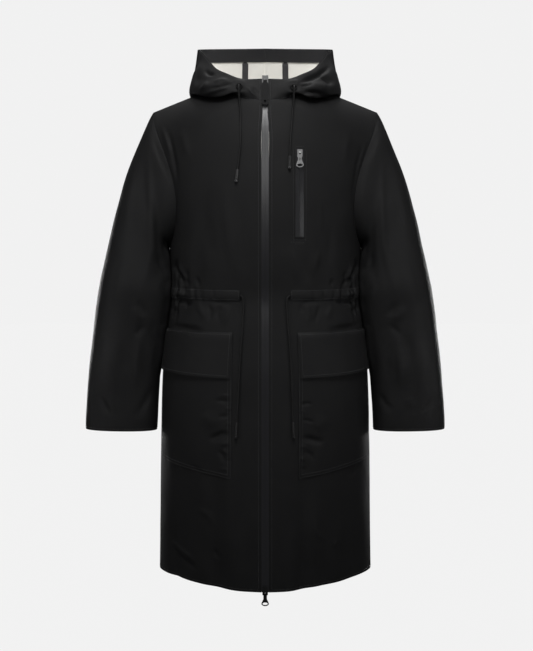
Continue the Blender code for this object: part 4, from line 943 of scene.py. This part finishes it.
def border_lines(work):
    """The piece's edges as lines of points, each with its normal and its direction into the cloth."""
    left = dict.fromkeys(edge for edge in work.edges if edge.is_boundary)
    lines = []
    while left:
        edge = next(iter(left))
        del left[edge]
        first, here = edge.verts
        chain = [(first, edge), (here, edge)]
        while here is not first:
            step = next((e for e in here.link_edges if e in left), None)
            if step is None:
                break
            del left[step]
            here = step.other_vert(here)
            chain.append((here, step))
        line = []
        for vert, beside in chain:
            run = (beside.verts[1].co - beside.verts[0].co).normalized()
            inward = vert.normal.cross(run).normalized()
            if (beside.link_faces[0].calc_center_median() - beside.verts[0].co).dot(inward) < 0:
                inward = -inward
            line.append((vert, vert.normal.copy(), inward))
        lines.append(line)
    return lines


def meet_neighbours(work, reach):
    """Moves the piece's edges out a little, so that two pieces meet at their seam."""
    for line in border_lines(work):
        for vert, normal, inward in line:
            vert.co -= inward * (reach(vert.co, inward) if callable(reach) else reach)


def tree_of_border(work):
    """A search tree of the points on the piece's edges."""
    border = [v.co.copy() for v in work.verts if v.is_boundary]
    tree = KDTree(len(border))
    for index, place in enumerate(border):
        tree.insert(place, index)
    tree.balance()
    return tree


print("edges are followed in the mesh's order")

# %% [markdown]
# ## The skin of a piece
# The skin is the outer face with its folds. The last millimetres before each edge roll in, as they do at a
# seam, and folds flatten out before they reach a seam that holds them. Each skin is kept in a search tree,
# so that stitches and other pieces can be laid on it.

# %% Skin
WALL = 0.0018
ALLOWANCE = 0.011
SEAM_ROLL = 0.0004
SEAM_WIDTH = 0.0035
SEAM_REACH = 0.0003
HELD_WIDTH = 0.010
UNEVEN_PATCH = 0.05
SKINS = {}


def shape_skin(piece, folds, wall, seed, uneven, allowance, held, reach, rest_on):
    """Moves the points of an outer face, and gives a search tree of its edges."""
    mesh = piece.data
    normals = read_rows(mesh, "normal")
    work = bmesh.new()
    work.from_mesh(mesh)
    work.normal_update()
    meet_neighbours(work, reach)
    points = np.array([v.co for v in work.verts])
    edges = tree_of_border(work)
    away = np.array([edges.find(v.co)[2] for v in work.verts])
    work.free()
    height = fold_heights(points, normals, folds) + undulation(points, UNEVEN_PATCH, uneven, seed)
    if held:
        height *= 1 - np.exp(-((away / HELD_WIDTH) ** 2))
    height -= SEAM_ROLL * np.exp(-((away / SEAM_WIDTH) ** 2)) * (wall / WALL)
    points = points + normals * height[:, None]
    write_points(mesh, rest_on(points, normals) if rest_on else points)
    share = mesh.attributes.new("share_of_allowance", "FLOAT", "POINT")
    share.data.foreach_set("value", away / allowance)
    return edges


def keep_skin(node, mesh, edges):
    work = bmesh.new()
    work.from_mesh(mesh)
    work.normal_update()
    lines = [[(v.co.copy(), normal, inward) for v, normal, inward in line] for line in border_lines(work)]
    SKINS[node] = {"tree": BVHTree.FromBMesh(work), "lines": lines, "edges": edges}
    work.free()


print("the edges roll in by", SEAM_ROLL / MM, "mm")

# %% [markdown]
# ## The wall of a piece, and its place on the coat
# Solidify gives the wall that the CAD sheet has, inwards, with the cream face inside and the black one
# round the rim. Then the piece rides on the coat, takes the place of its CAD node, and prints the size of
# its cut.

# %% Wall and sheet
NARROWEST_SHEET = 0.010
SMOOTH_ANGLE = math.radians(40)


def give_wall(piece, wall, outer, inner):
    mesh = piece.data
    mesh.materials.clear()
    mesh.materials.append(outer)
    mesh.materials.append(inner)
    inside_and_rim = {"material_offset": 1, "material_offset_rim": 0}
    run_modifier(piece, "SOLIDIFY", thickness=wall, offset=-1, use_even_offset=False, **inside_and_rim)
    mesh.shade_smooth()
    bpy.context.view_layer.objects.active = piece
    piece.select_set(True)
    bpy.ops.object.shade_smooth_by_angle(angle=SMOOTH_ANGLE)
    piece.select_set(False)


def declare(piece, node, cut):
    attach(piece, "coat")
    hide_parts(node)
    width, length, area = CUTS[piece.name]
    if cut:
        width, length, area = (*cut, cut[0] * cut[1])
    if width > NARROWEST_SHEET:
        min(area, width * length)
    print(node, "cut", round(width, 3), "x", round(length, 3), "area", round(area, 4))


print("a sheet is wider than", NARROWEST_SHEET / MM, "mm")

# %% [markdown]
# ## Sewing
# One function takes a node through all the steps, as each panel of a real coat goes through the same hands.
# The neckline goes a little way under the hood's lower edge, so that no light shows between them.

# %% Fronts and back
NECK_LOW, NECK_BACK, NECK_HALF = -0.045, -0.03, 0.1
UNDER_HOOD = 0.0032


def sew(
    node, slot, folds=(), wall=WALL, cell=0.0055, faces=None, tube=False, seed=1.0, uneven=0.0008, cut=None,
    allowance=ALLOWANCE, held=True, reach=SEAM_REACH, rest_on=None,
):
    outer, inner = faces or (SHELL, INNER)
    piece = outer_face(node)
    lay_flat(piece, tube)
    round_off(piece)
    divide_long_cells(piece, cell)
    edges = shape_skin(piece, folds, wall, seed, uneven, allowance, held, reach, rest_on)
    keep_skin(node, piece.data, edges)
    give_wall(piece, wall, outer, inner)
    declare(piece, node, cut)


def neckline_reach(place, inward):
    at_neck = place.z > NECK_LOW and place.y < NECK_BACK and abs(place.x) < NECK_HALF
    return UNDER_HOOD if at_neck and inward.z < -0.3 else SEAM_REACH


for seed, (node, cell) in enumerate((("front_left", 0.005), ("front_right", 0.005), ("back", 0.0075))):
    sew(node, "shell_black", BODY_FOLDS, cell=cell, seed=seed, reach=neckline_reach)

# %% [markdown]
# ## The hood
# Two side panels and a centre panel, with narrow seams because they show inside. The lower edge goes
# further into the neck's seam than the other edges do. The hood could be one piece, but then the seams that
# the tapes cover would be missing.

# %% Hood
HOOD_LOW = 0.005
INTO_NECK = 0.0016


def neck_reach(place, inward):
    return INTO_NECK if place.z < HOOD_LOW and inward.z > 0.4 else SEAM_REACH


for node in ("hood_side_left", "hood_side_right", "hood_centre"):
    sew(node, "hood_cloth", HOOD_FOLDS, cell=0.0042, allowance=0.004, reach=neck_reach)

# %% [markdown]
# ## Casing, pockets and flaps
# The waist's casing, the patch pockets and their flaps lie on the body and move with its folds. They are
# black on both faces, and nothing holds their folds back at the edges, because the body below doesn't.

# %% Casing, pockets and flaps
CASING_WALL = 0.0010
POCKET_WALL = 0.0014
ON_BODY = {"faces": (SHELL, SHELL), "uneven": 0.0, "held": False}

for node in ("waist_casing_left", "waist_casing_right", "waist_casing_back"):
    sew(node, "shell_black", BODY_FOLDS, CASING_WALL, 0.004, **ON_BODY)
for node in ("pocket_left", "pocket_right"):
    sew(node, "shell_black", BODY_FOLDS + POCKET_FOLDS, POCKET_WALL, 0.0034, **ON_BODY)
for node in ("pocket_flap_left", "pocket_flap_right"):
    sew(node, "shell_black", BODY_FOLDS, POCKET_WALL, 0.004, **ON_BODY)

# %% [markdown]
# ## The sleeves
# A real sleeve rests against the body's side, and no light shows between them down to the flaps. The CAD
# sleeve keeps clear of it. A cloth simulation could press it on, but rays do the same in a second: each
# point on the sleeve's inside looks across to the body, the casing and the pockets, and moves most of the
# way to what it sees.

# %% Sleeves
BODY_SIDES = (
    "front_left", "front_right", "back", "waist_casing_left", "waist_casing_right", "waist_casing_back",
    "pocket_left", "pocket_right", "pocket_flap_left", "pocket_flap_right",
)
SIGHT, SIGHT_FADE = 0.016, 0.005
LEFT_APART, FURTHEST_MOVE = 0.0009, 0.006
ARMPIT, BELOW_ARMPIT = 0.29, 0.32
OPENING, ABOVE_OPENING = -0.60, -0.56
SLEEVE_REACH = 0.0008


def ramp(values, start, end):
    """0 before start and 1 after end, straight between them."""
    return np.clip((values - start) / (end - start), 0, 1)


def against_body(points, normals):
    """Moves the inside of a sleeve to the body's side."""
    side = np.sign(points[0, 0])
    ways = Vector((-side, 0, 0)), Vector((-side, 0, -0.5))
    facing = ramp(-side * normals[:, 0], 0.6, 0.9)
    below_armpit = ramp(-points[:, 2], ARMPIT, BELOW_ARMPIT)
    above_opening = ramp(points[:, 2], OPENING, ABOVE_OPENING)
    skins = [SKINS[node]["tree"] for node in BODY_SIDES]
    for index, share in enumerate(facing * below_armpit * above_opening):
        if share > 0:
            place = Vector(points[index])
            hits = [skin.ray_cast(place, way, SIGHT)[3] for skin in skins for way in ways]
            gap = min((hit for hit in hits if hit is not None), default=0)
            near = min(1, (SIGHT - gap) / SIGHT_FADE)
            points[index, 0] -= side * share * near * min(max(gap - LEFT_APART, 0), FURTHEST_MOVE)
    return points


hanging = {"cell": 0.006, "tube": True, "reach": SLEEVE_REACH, "rest_on": against_body}
for seed, node in enumerate(("sleeve_left", "sleeve_right"), start=5):
    sew(node, "shell_black", SLEEVE_FOLDS, seed=seed, **hanging)

# %% [markdown]
# ## Facing and tapes
# The rim's facing and the seam tapes lie inside the hood. They take its troughs but not its ridges, so that
# they never come through the outer cloth. The zip's tapes lie flat, and are coated on both faces.

# %% Facing and tapes
LINING_FOLDS = tuple(fold for fold in HOOD_FOLDS if fold[2] < 0)
LINING = {"wall": 0.0010, "cell": 0.004, "uneven": 0.0, "held": False}

sew("hood_rim_facing", "trim_black", LINING_FOLDS, faces=(FACING, FACING), cut=(0.027, 0.92), **LINING)
for node in ("hood_seam_tape_left", "hood_seam_tape_right"):
    sew(node, "trim_black", LINING_FOLDS, faces=(SEAM_TAPE, SEAM_TAPE), cut=(0.0125, 0.35), **LINING)
for node in ("zip_tape_left", "zip_tape_right"):
    sew(node, "coated_tape", (), 0.0012, 0.006, (ZIP_COATING, ZIP_COATING), uneven=0.0, reach=0.0001)

# %% [markdown]
# ## One stitch
# Thick black thread holds the edges down. A stitch could be painted on, but from the side it has to stand
# up a little and catch the light. It is a short six-sided rod with narrow ends, with so few faces that
# thousands of copies stay light.

# %% One stitch
STITCH_LENGTH = 0.0023
THREAD_RADIUS = 0.00032


def one_stitch():
    """A short rod along x with narrow ends, made as a cylinder cut across twice."""
    bpy.ops.mesh.primitive_cylinder_add(
        vertices=6, radius=THREAD_RADIUS, depth=STITCH_LENGTH, rotation=(0, math.pi / 2, 0)
    )
    rod = bpy.context.object
    bpy.ops.object.transform_apply(location=True, rotation=True, scale=True)
    bpy.ops.object.mode_set(mode="EDIT")
    for end in (-1, 1):
        bpy.ops.mesh.select_all(action="SELECT")
        bpy.ops.mesh.bisect(plane_co=(end * STITCH_LENGTH * 0.3, 0, 0), plane_no=(1, 0, 0))
    bpy.ops.object.mode_set(mode="OBJECT")
    points = read_points(rod.data)
    tips = np.abs(points[:, 0]) > STITCH_LENGTH * 0.45
    points[tips, 1:] *= 0.4
    faces = [tuple(face.vertices) for face in rod.data.polygons]
    bpy.data.objects.remove(rod)
    return points, faces


YARN_DARK, YARN_PALE = (0.008, 0.008, 0.009), (0.020, 0.020, 0.021)
THREAD = grained("black_thread", 0.45, 0.0006, YARN_DARK, YARN_PALE, 0.45, 0.2, detail=1.0)
ROD_POINTS, ROD_FACES = one_stitch()
print("faces of one stitch:", len(ROD_FACES))

# %% [markdown]
# ## Rows of stitches
# A row is the one stitch repeated at an even pitch along a line on a skin, half sunk into the cloth. All
# rows of a node are one mesh, because thousands of objects would make the scene slow.

# %% Rows of stitches
STITCH_PITCH = 0.0032
RAISED_SHARE = 0.35


def even_steps(places, pitch):
    """Points of a line at equal steps."""
    line = np.array(places)
    run = np.concatenate([[0], np.cumsum(np.linalg.norm(np.diff(line, axis=0), axis=1))])
    count = int(run[-1] / pitch)
    if count < 2:
        return []
    at = np.linspace(0, run[-1], count + 1)
    return np.stack([np.interp(at, run, line[:, k]) for k in range(3)], axis=-1)


def stitch_lines(name, node, lines):
    """Stitches along lines of points that lie on the skin of a node's cloth."""
    tree = SKINS[node]["tree"]
    points, faces = [], []
    for line in lines:
        steps = even_steps(line, STITCH_PITCH)
        for before, after in zip(steps[:-1], steps[1:]):
            place, normal, _, _ = tree.find_nearest(Vector((before + after) / 2))
            along = Vector(after - before).normalized()
            across = normal.cross(along).normalized()
            turn = np.array([along, across, along.cross(across)])
            faces += [tuple(index + len(points) for index in face) for face in ROD_FACES]
            points += list(ROD_POINTS @ turn + np.array(place + normal * THREAD_RADIUS * RAISED_SHARE))
    mesh = bpy.data.meshes.new(name)
    mesh.from_pydata(points, [], faces)
    mesh.materials.append(THREAD)
    mesh.shade_smooth()
    rows = bpy.data.objects.new(name, mesh)
    bpy.context.scene.collection.objects.link(rows)
    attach(rows, "coat")
    print(name, len(points) // len(ROD_POINTS), "stitches")


print("stitches are", STITCH_PITCH / MM, "mm apart")

# %% [markdown]
# ## Topstitching
# A presser foot keeps a stitch line at a set distance from the edge. Here too: each point of an edge is
# moved into the cloth by that inset, and a rule says which edges get a row. The hem, the cuffs, the zip's
# edges, the pockets, the flaps, the casing and the hood have one, and the pockets two.

# %% Topstitching


def beside_edge(node, inset, keep):
    """Lines at a set distance inside the edges of a node's cloth, where keep says so."""
    skin = SKINS[node]
    found = []
    for line in skin["lines"]:
        run = []
        for place, _, inward in line:
            inside = skin["tree"].find_nearest(place + inward * inset)[0]
            if keep(place, inward) and skin["edges"].find(inside)[2] > inset * 0.85:
                run.append(inside)
            elif run:
                found.append(run)
                run = []
        if run:
            found.append(run)
    return [run for run in found if len(run) > 2]


def is_hem(place, inward):
    return place.z < -0.9 and inward.z > 0.6


def is_zip_edge(place, inward):
    return abs(place.x) < 0.03 and abs(inward.x) > 0.6 and place.z < -0.04


def is_cuff(place, inward):
    return place.z < -0.6


def is_below_flap(place, inward):
    return place.z < -0.52


def is_anywhere(place, inward):
    return True


EDGE_ROWS = (
    (("front_left", "front_right"), ((0.006, is_zip_edge), (0.005, is_hem))),
    (("back",), ((0.005, is_hem),)),
    (("sleeve_left", "sleeve_right"), ((0.005, is_cuff),)),
    (("pocket_left", "pocket_right"), ((0.002, is_below_flap), (0.008, is_below_flap))),
    (("pocket_flap_left", "pocket_flap_right"), ((0.005, is_anywhere),)),
    (("waist_casing_left", "waist_casing_right", "waist_casing_back"), ((0.002, is_anywhere),)),
    (("hood_side_left", "hood_side_right"), ((0.003, is_anywhere),)),
)
for nodes, rows in EDGE_ROWS:
    for node in nodes:
        lines = [line for inset, keep in rows for line in beside_edge(node, inset, keep)]
        stitch_lines("stitches_" + node, node, lines)

# %% [markdown]
# ## Stitches of the chest zip
# A row runs round the zip's frame. At the lower end three short bars of dense stitches close the slot,
# which is the place where a pocket tears first. These rows follow no edge, so their lines are given as x
# and z in millimetres and dropped onto the front.

# %% Chest zip stitches
CHEST_ROWS = (
    ((56, -316), (55, -140), (59, -132), (77, -132), (81, -140), (80, -316)),
    ((56, -314), (80, -314)),
    ((50, -318), (77, -319)),
    ((58, -322), (76, -322)),
)
IN_FRONT = -1


def from_the_front(node, x, z):
    """The first place of a node's cloth that is met from the front."""
    return SKINS[node]["tree"].ray_cast(Vector((x, IN_FRONT, z)), Vector((0, 1, 0)))[0]


def onto_front(node, line):
    """Points about 2 mm apart on the front of a node's cloth, along a line in millimetres."""
    found = []
    for before, after in zip(line[:-1], line[1:]):
        steps = max(2, int(math.dist(before, after) / 2))
        for step in range(steps):
            share = step / (steps - 1)
            x, z = ((start + (end - start) * share) * MM for start, end in zip(before, after))
            found.append(from_the_front(node, x, z))
    return found


chest_lines = [onto_front("front_left", line) for line in CHEST_ROWS]
stitch_lines("stitches_chest_zip", "front_left", chest_lines)

# %% [markdown]
# ## The closed zip behind its coated tapes
# Between the two coated tapes only a dark slit shows. Single teeth could be modelled, but none can be seen.
# The closed teeth are one narrow strip that follows the tapes down the front, a little behind their face,
# with rows of teeth as relief, and with painted shade that darkens the gaps between the rows.

# %% Zip teeth
TEETH_HALF = 0.0048
TEETH_BEHIND = 0.0026
TEETH_WALL = 0.0016
TEETH_PITCH = 0.0015
TEETH_TOP, TEETH_LENGTH = -0.022, 0.985
BESIDE_SLIT, TAPE_MIDDLE = 0.0035, 0.004
BEFORE_COAT = -0.2


def nylon():
    teeth = Finish("black_nylon", Specular_IOR_Level=0.3)
    rows = teeth.bands(teeth.place("Object"), "Z", TEETH_PITCH)
    # The colour darkens in the gaps between the rows of teeth: painted shade.
    teeth.feed("Base Color", teeth.between(rows, grey(0.003), grey(0.010)))
    teeth.feed("Roughness", 0.4 + rows * 0.2)
    teeth.relief(rows, 0.0005, 0.6)
    return teeth.paint


bpy.ops.mesh.primitive_grid_add(x_subdivisions=2, y_subdivisions=120, size=1)
teeth = bpy.context.object
teeth.name = "zip_teeth"
places = read_points(teeth.data)
places[:, 0] *= 2 * TEETH_HALF
places[:, 2] = TEETH_TOP - TEETH_LENGTH * (0.5 - places[:, 1])
for place in places:
    in_front = Vector((TAPE_MIDDLE, BEFORE_COAT, place[2]))
    nearest = SKINS["zip_tape_left"]["tree"].find_nearest(in_front, 1.0)[0]
    place[1] = (from_the_front("zip_tape_left", BESIDE_SLIT, place[2]) or nearest).y + TEETH_BEHIND
write_points(teeth.data, places)
run_modifier(teeth, "SOLIDIFY", thickness=TEETH_WALL, offset=0)
teeth.data.materials.append(nylon())
teeth.data.shade_smooth()
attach(teeth, "coat")
print("strip of teeth:", len(teeth.data.polygons), "faces")

# %% [markdown]
# ## Kept nodes
# Sliders, pulls, eyelets and cord ends are hard and already have their shape in the CAD model. They could
# be modelled again, but nothing would be gained, so each keeps its node and only gets its finish.

# %% Finishes of kept nodes
KEPT = (
    (ZIP_COATING, "chest_zip_strip_inner", "chest_zip_strip_outer"),
    (SHELL, "chest_zip_frame"),
    # The neck's and the hem's sliders take the darker copies of the paint, whose darker tone is painted
    # shade.
    (NECK_PAINT_WITH_PAINTED_SHADE, "zip_slider_top"),
    (HEM_PAINT_WITH_PAINTED_SHADE, "zip_slider_bottom", "zip_pull_bottom"),
    (SLIDER_PAINT, "chest_zip_slider", "chest_zip_pull"),
    (PULL_RUBBER, "zip_pull_top", "hood_eyelet_left", "hood_eyelet_right"),
    (SHINY_PLASTIC, "hood_cord_end_left", "hood_cord_end_right"),
    (MATT_PLASTIC, "waist_cord_end_left", "waist_cord_end_right"),
)
for paint, *nodes in KEPT:
    for node in nodes:
        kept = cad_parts[node].data
        kept.materials.clear()
        kept.materials.append(paint)
    print(paint.name, "on", *nodes)

# %% [markdown]
# ## The drawcords
# Four round braided ends hang free: two from the hood's eyelets and two from the waist's tunnel. Each
# follows the route of its CAD solid, whose points are given here in millimetres, and ends in its moulded
# end piece. A cord is a curve with a round bevel, because a curve is easier to lead than a tube.

# %% Routes of the cords
CORD_ROUTES = {
    "hood_cord_left": (
        (56.4, -96.6, -14.9), (56.9, -100.5, -13.2), (57.2, -104, -12.6), (57.2, -107.2, -15.5),
        (57, -108, -22), (56.6, -107.6, -30), (56, -107.2, -42), (54.5, -109, -58), (52.4, -115.9, -85),
        (50.2, -123.6, -112), (49.2, -128.2, -132), (48.6, -132, -150),
    ),
    "hood_cord_right": (
        (-51.3, -96.3, -12.7), (-51.6, -100.2, -10.9), (-51.9, -103.8, -10.2), (-52, -107, -13),
        (-51.9, -107.9, -20), (-51.4, -107.5, -29), (-50.5, -107.2, -41), (-49.2, -109.2, -55),
        (-48, -114.2, -78), (-47.9, -122.2, -105), (-48.8, -127.6, -130), (-54, -134.4, -176),
    ),
    "waist_cord_left": (
        (49, -140.4, -423.5), (45.5, -140.7, -424.5), (43.5, -141.2, -430), (43, -142.7, -444),
        (44.2, -145.5, -472), (48.5, -150.1, -522), (51.6, -153.9, -572), (53.8, -157, -623),
        (55.5, -160.2, -673),
    ),
    "waist_cord_right": (
        (-49, -140.4, -423.5), (-45.5, -140.7, -424.5), (-43.5, -141.2, -430), (-43, -142.7, -444),
        (-43.8, -145.5, -472), (-47.4, -150.1, -522), (-50.5, -153.9, -572), (-53.4, -157, -623),
        (-56, -160.2, -673),
    ),
}
print("cords:", len(CORD_ROUTES))

# %% [markdown]
# ## A smooth line
# A cord that only joined its points would have corners. Between two points the line leaves and arrives in
# the direction of their neighbours, and it is then cut into equal steps. That also gives its true length.

# %% Smooth line
FINE_STEPS = 600


def smooth_route(route, steps):
    """Points at equal steps on a smooth curve through a route's own points, and its length."""
    way = np.array(route)
    knots = np.concatenate([[0], np.cumsum(np.sqrt(np.linalg.norm(np.diff(way, axis=0), axis=1)))])
    slopes = np.gradient(way, knots, axis=0)
    fine = []
    for at in np.linspace(0, knots[-1], FINE_STEPS):
        k = min(np.searchsorted(knots, at, side="right") - 1, len(way) - 2)
        gap = knots[k + 1] - knots[k]
        t = (at - knots[k]) / gap
        near = (1 + 2 * t) * (1 - t) ** 2 * way[k] + t * (1 - t) ** 2 * gap * slopes[k]
        far = t * t * (3 - 2 * t) * way[k + 1] + t * t * (t - 1) * gap * slopes[k + 1]
        fine.append(near + far)
    fine = np.array(fine)
    run = np.concatenate([[0], np.cumsum(np.linalg.norm(np.diff(fine, axis=0), axis=1))])
    at = np.linspace(0, run[-1], steps)
    return np.stack([np.interp(at, run, fine[:, k]) for k in range(3)], axis=-1), run[-1]


print("a route is measured in", FINE_STEPS, "steps")

# %% [markdown]
# ## Laying the cords
# The braid is dull black yarn with a diamond grain. Each cord hangs limp from its first point, and its far
# end is held in the end piece.

# %% Cords
CORD_RADIUS = 0.0022
CORD_POINTS = 40
STRAND_PITCH = 0.0012


def braid():
    cord = Finish("cord_braid", Specular_IOR_Level=0.13)
    strands = cord.weave(cord.place("Object"), STRAND_PITCH)
    # The colour is darker between the strands: painted shade that follows the braid's relief.
    cord.feed("Base Color", cord.between(strands, grey(0.0024), grey(0.0060)))
    cord.feed("Roughness", 0.55 + strands * 0.15)
    cord.relief(strands, 0.0003, 0.5)
    return cord.paint


BRAID = braid()


def lay_cord(name, route):
    line, length = smooth_route(route, CORD_POINTS)
    curve = bpy.data.curves.new(name + "_line", "CURVE")
    curve.dimensions = "3D"
    curve.bevel_depth = CORD_RADIUS
    curve.bevel_resolution = 6
    curve.use_fill_caps = True
    spline = curve.splines.new("POLY")
    spline.points.add(len(line) - 1)
    for point, place in zip(spline.points, line):
        point.co = (*place, 1)
    curve.materials.append(BRAID)
    cord = bpy.data.objects.new(name + "_line", curve)
    bpy.context.scene.collection.objects.link(cord)
    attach(cord, "coat")
    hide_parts(name)
    print(name, "length", round(float(length) / MM, 1), "mm")


for name, route in CORD_ROUTES.items():
    lay_cord(name, [tuple(value / 1000 for value in point) for point in route])

# %% [markdown]
# ## The room
# A photographer hangs a pale seamless sheet behind the coat. Here a large shell and a floor far below the
# hem glow evenly in that tone. They are hidden from reflections, so black cloth doesn't pick up their
# light, and a dim grey air fills the shadows instead.

# %% Floor and backdrop
FLOOR_Z = -1.62
ROOM_RADIUS = 14.0
PALE = 0.88


def glowing(name):
    finish = Finish(name, Base_Color=(0, 0, 0, 1), Roughness=0.9, Specular_IOR_Level=0.1)
    finish.shader.inputs["Emission Color"].default_value = (1, 1, 1, 1)
    finish.shader.inputs["Emission Strength"].default_value = PALE
    return finish.paint


bpy.ops.mesh.primitive_uv_sphere_add(segments=64, ring_count=32, radius=ROOM_RADIUS, location=(0, 0, 0))
backdrop = bpy.context.object
backdrop.name = "backdrop"
backdrop.data.materials.append(glowing("backdrop_white"))
backdrop.data.shade_smooth()
backdrop.visible_shadow = False
bpy.ops.mesh.primitive_circle_add(
    vertices=96, radius=ROOM_RADIUS * 0.9, fill_type="NGON", location=(0, 0, FLOOR_Z)
)
floor = bpy.context.object
floor.name = "floor"
floor.data.materials.append(glowing("floor_white"))
for pale in (backdrop, floor):
    pale.visible_diffuse = False
    pale.visible_glossy = False

world = bpy.data.worlds.new("studio_air")
world.use_nodes = True
air = world.node_tree.nodes["Background"]
air.inputs["Color"].default_value = (0.5, 0.5, 0.52, 1)
air.inputs["Strength"].default_value = 0.30
bpy.context.scene.world = world
bpy.context.scene.view_settings.view_transform = "Standard"
print("floor", FLOOR_Z, "m below the shoulders' line")

# %% [markdown]
# ## The lights
# Black cloth shows its form only by soft shine. A strong light above and in front draws the shoulders and
# the chest, a low one in front lifts the hood, and narrow pairs at the sides draw the long bands down the
# sleeves. Lights behind lift the back. They are kept weak or high, because strong ones would edge the coat
# with a bright rim. Left and right are the picture's here.

# %% Lights
LIGHTS = (
    # name, place, aim, width, height, power, spread in degrees
    ("top_front_light", (0.0, -1.6, 1.8), (0, 0, 0), 0.8, 0.8, 76, 180),
    ("top_light", (0.0, -0.6, 2.0), (0, 0, 0), 1.2, 1.2, 22, 180),
    ("front_light", (0.0, -1.75, 0.36), (0, 0, 0.12), 0.62, 0.60, 1.1, 90),
    ("back_top_light", (0.0, 1.2, 2.4), (0, 0.05, -0.1), 0.8, 0.8, 45, 180),
)
PAIRS_OF_LIGHTS = (
    ("{}_side_light", (1.3, -1.2, -0.45), (0.32, 0, -0.45), 0.3, 0.7, 1.0, 60),
    ("{}_sleeve_light", (1.6, -1.1, -0.7), (0.38, -0.02, -0.58), 0.15, 0.15, 0.06, 12),
    ("back_{}_light", (1.5, 1.9, -0.5), (0.1, 0.05, -0.62), 0.3, 0.3, 0.9, 26),
)


def soft_light(name, place, aim, width, height, power, spread):
    light = bpy.data.lights.new(name, "AREA")
    light.spread = math.radians(spread)
    light.shape = "RECTANGLE"
    light.size = width
    light.size_y = height
    light.energy = power
    lamp = bpy.data.objects.new(name, light)
    lamp.location = place
    lamp.visible_camera = False
    lamp.rotation_euler = (Vector(aim) - Vector(place)).to_track_quat("-Z", "Y").to_euler()
    bpy.context.scene.collection.objects.link(lamp)


for row in LIGHTS:
    soft_light(*row)
for name, place, aim, *rest in PAIRS_OF_LIGHTS:
    for side, sign in (("left", -1), ("right", 1)):
        soft_light(name.format(side), (sign * place[0], *place[1:]), (sign * aim[0], *aim[1:]), *rest)
print("lights:", len(LIGHTS) + 2 * len(PAIRS_OF_LIGHTS))

# %% [markdown]
# ## The end
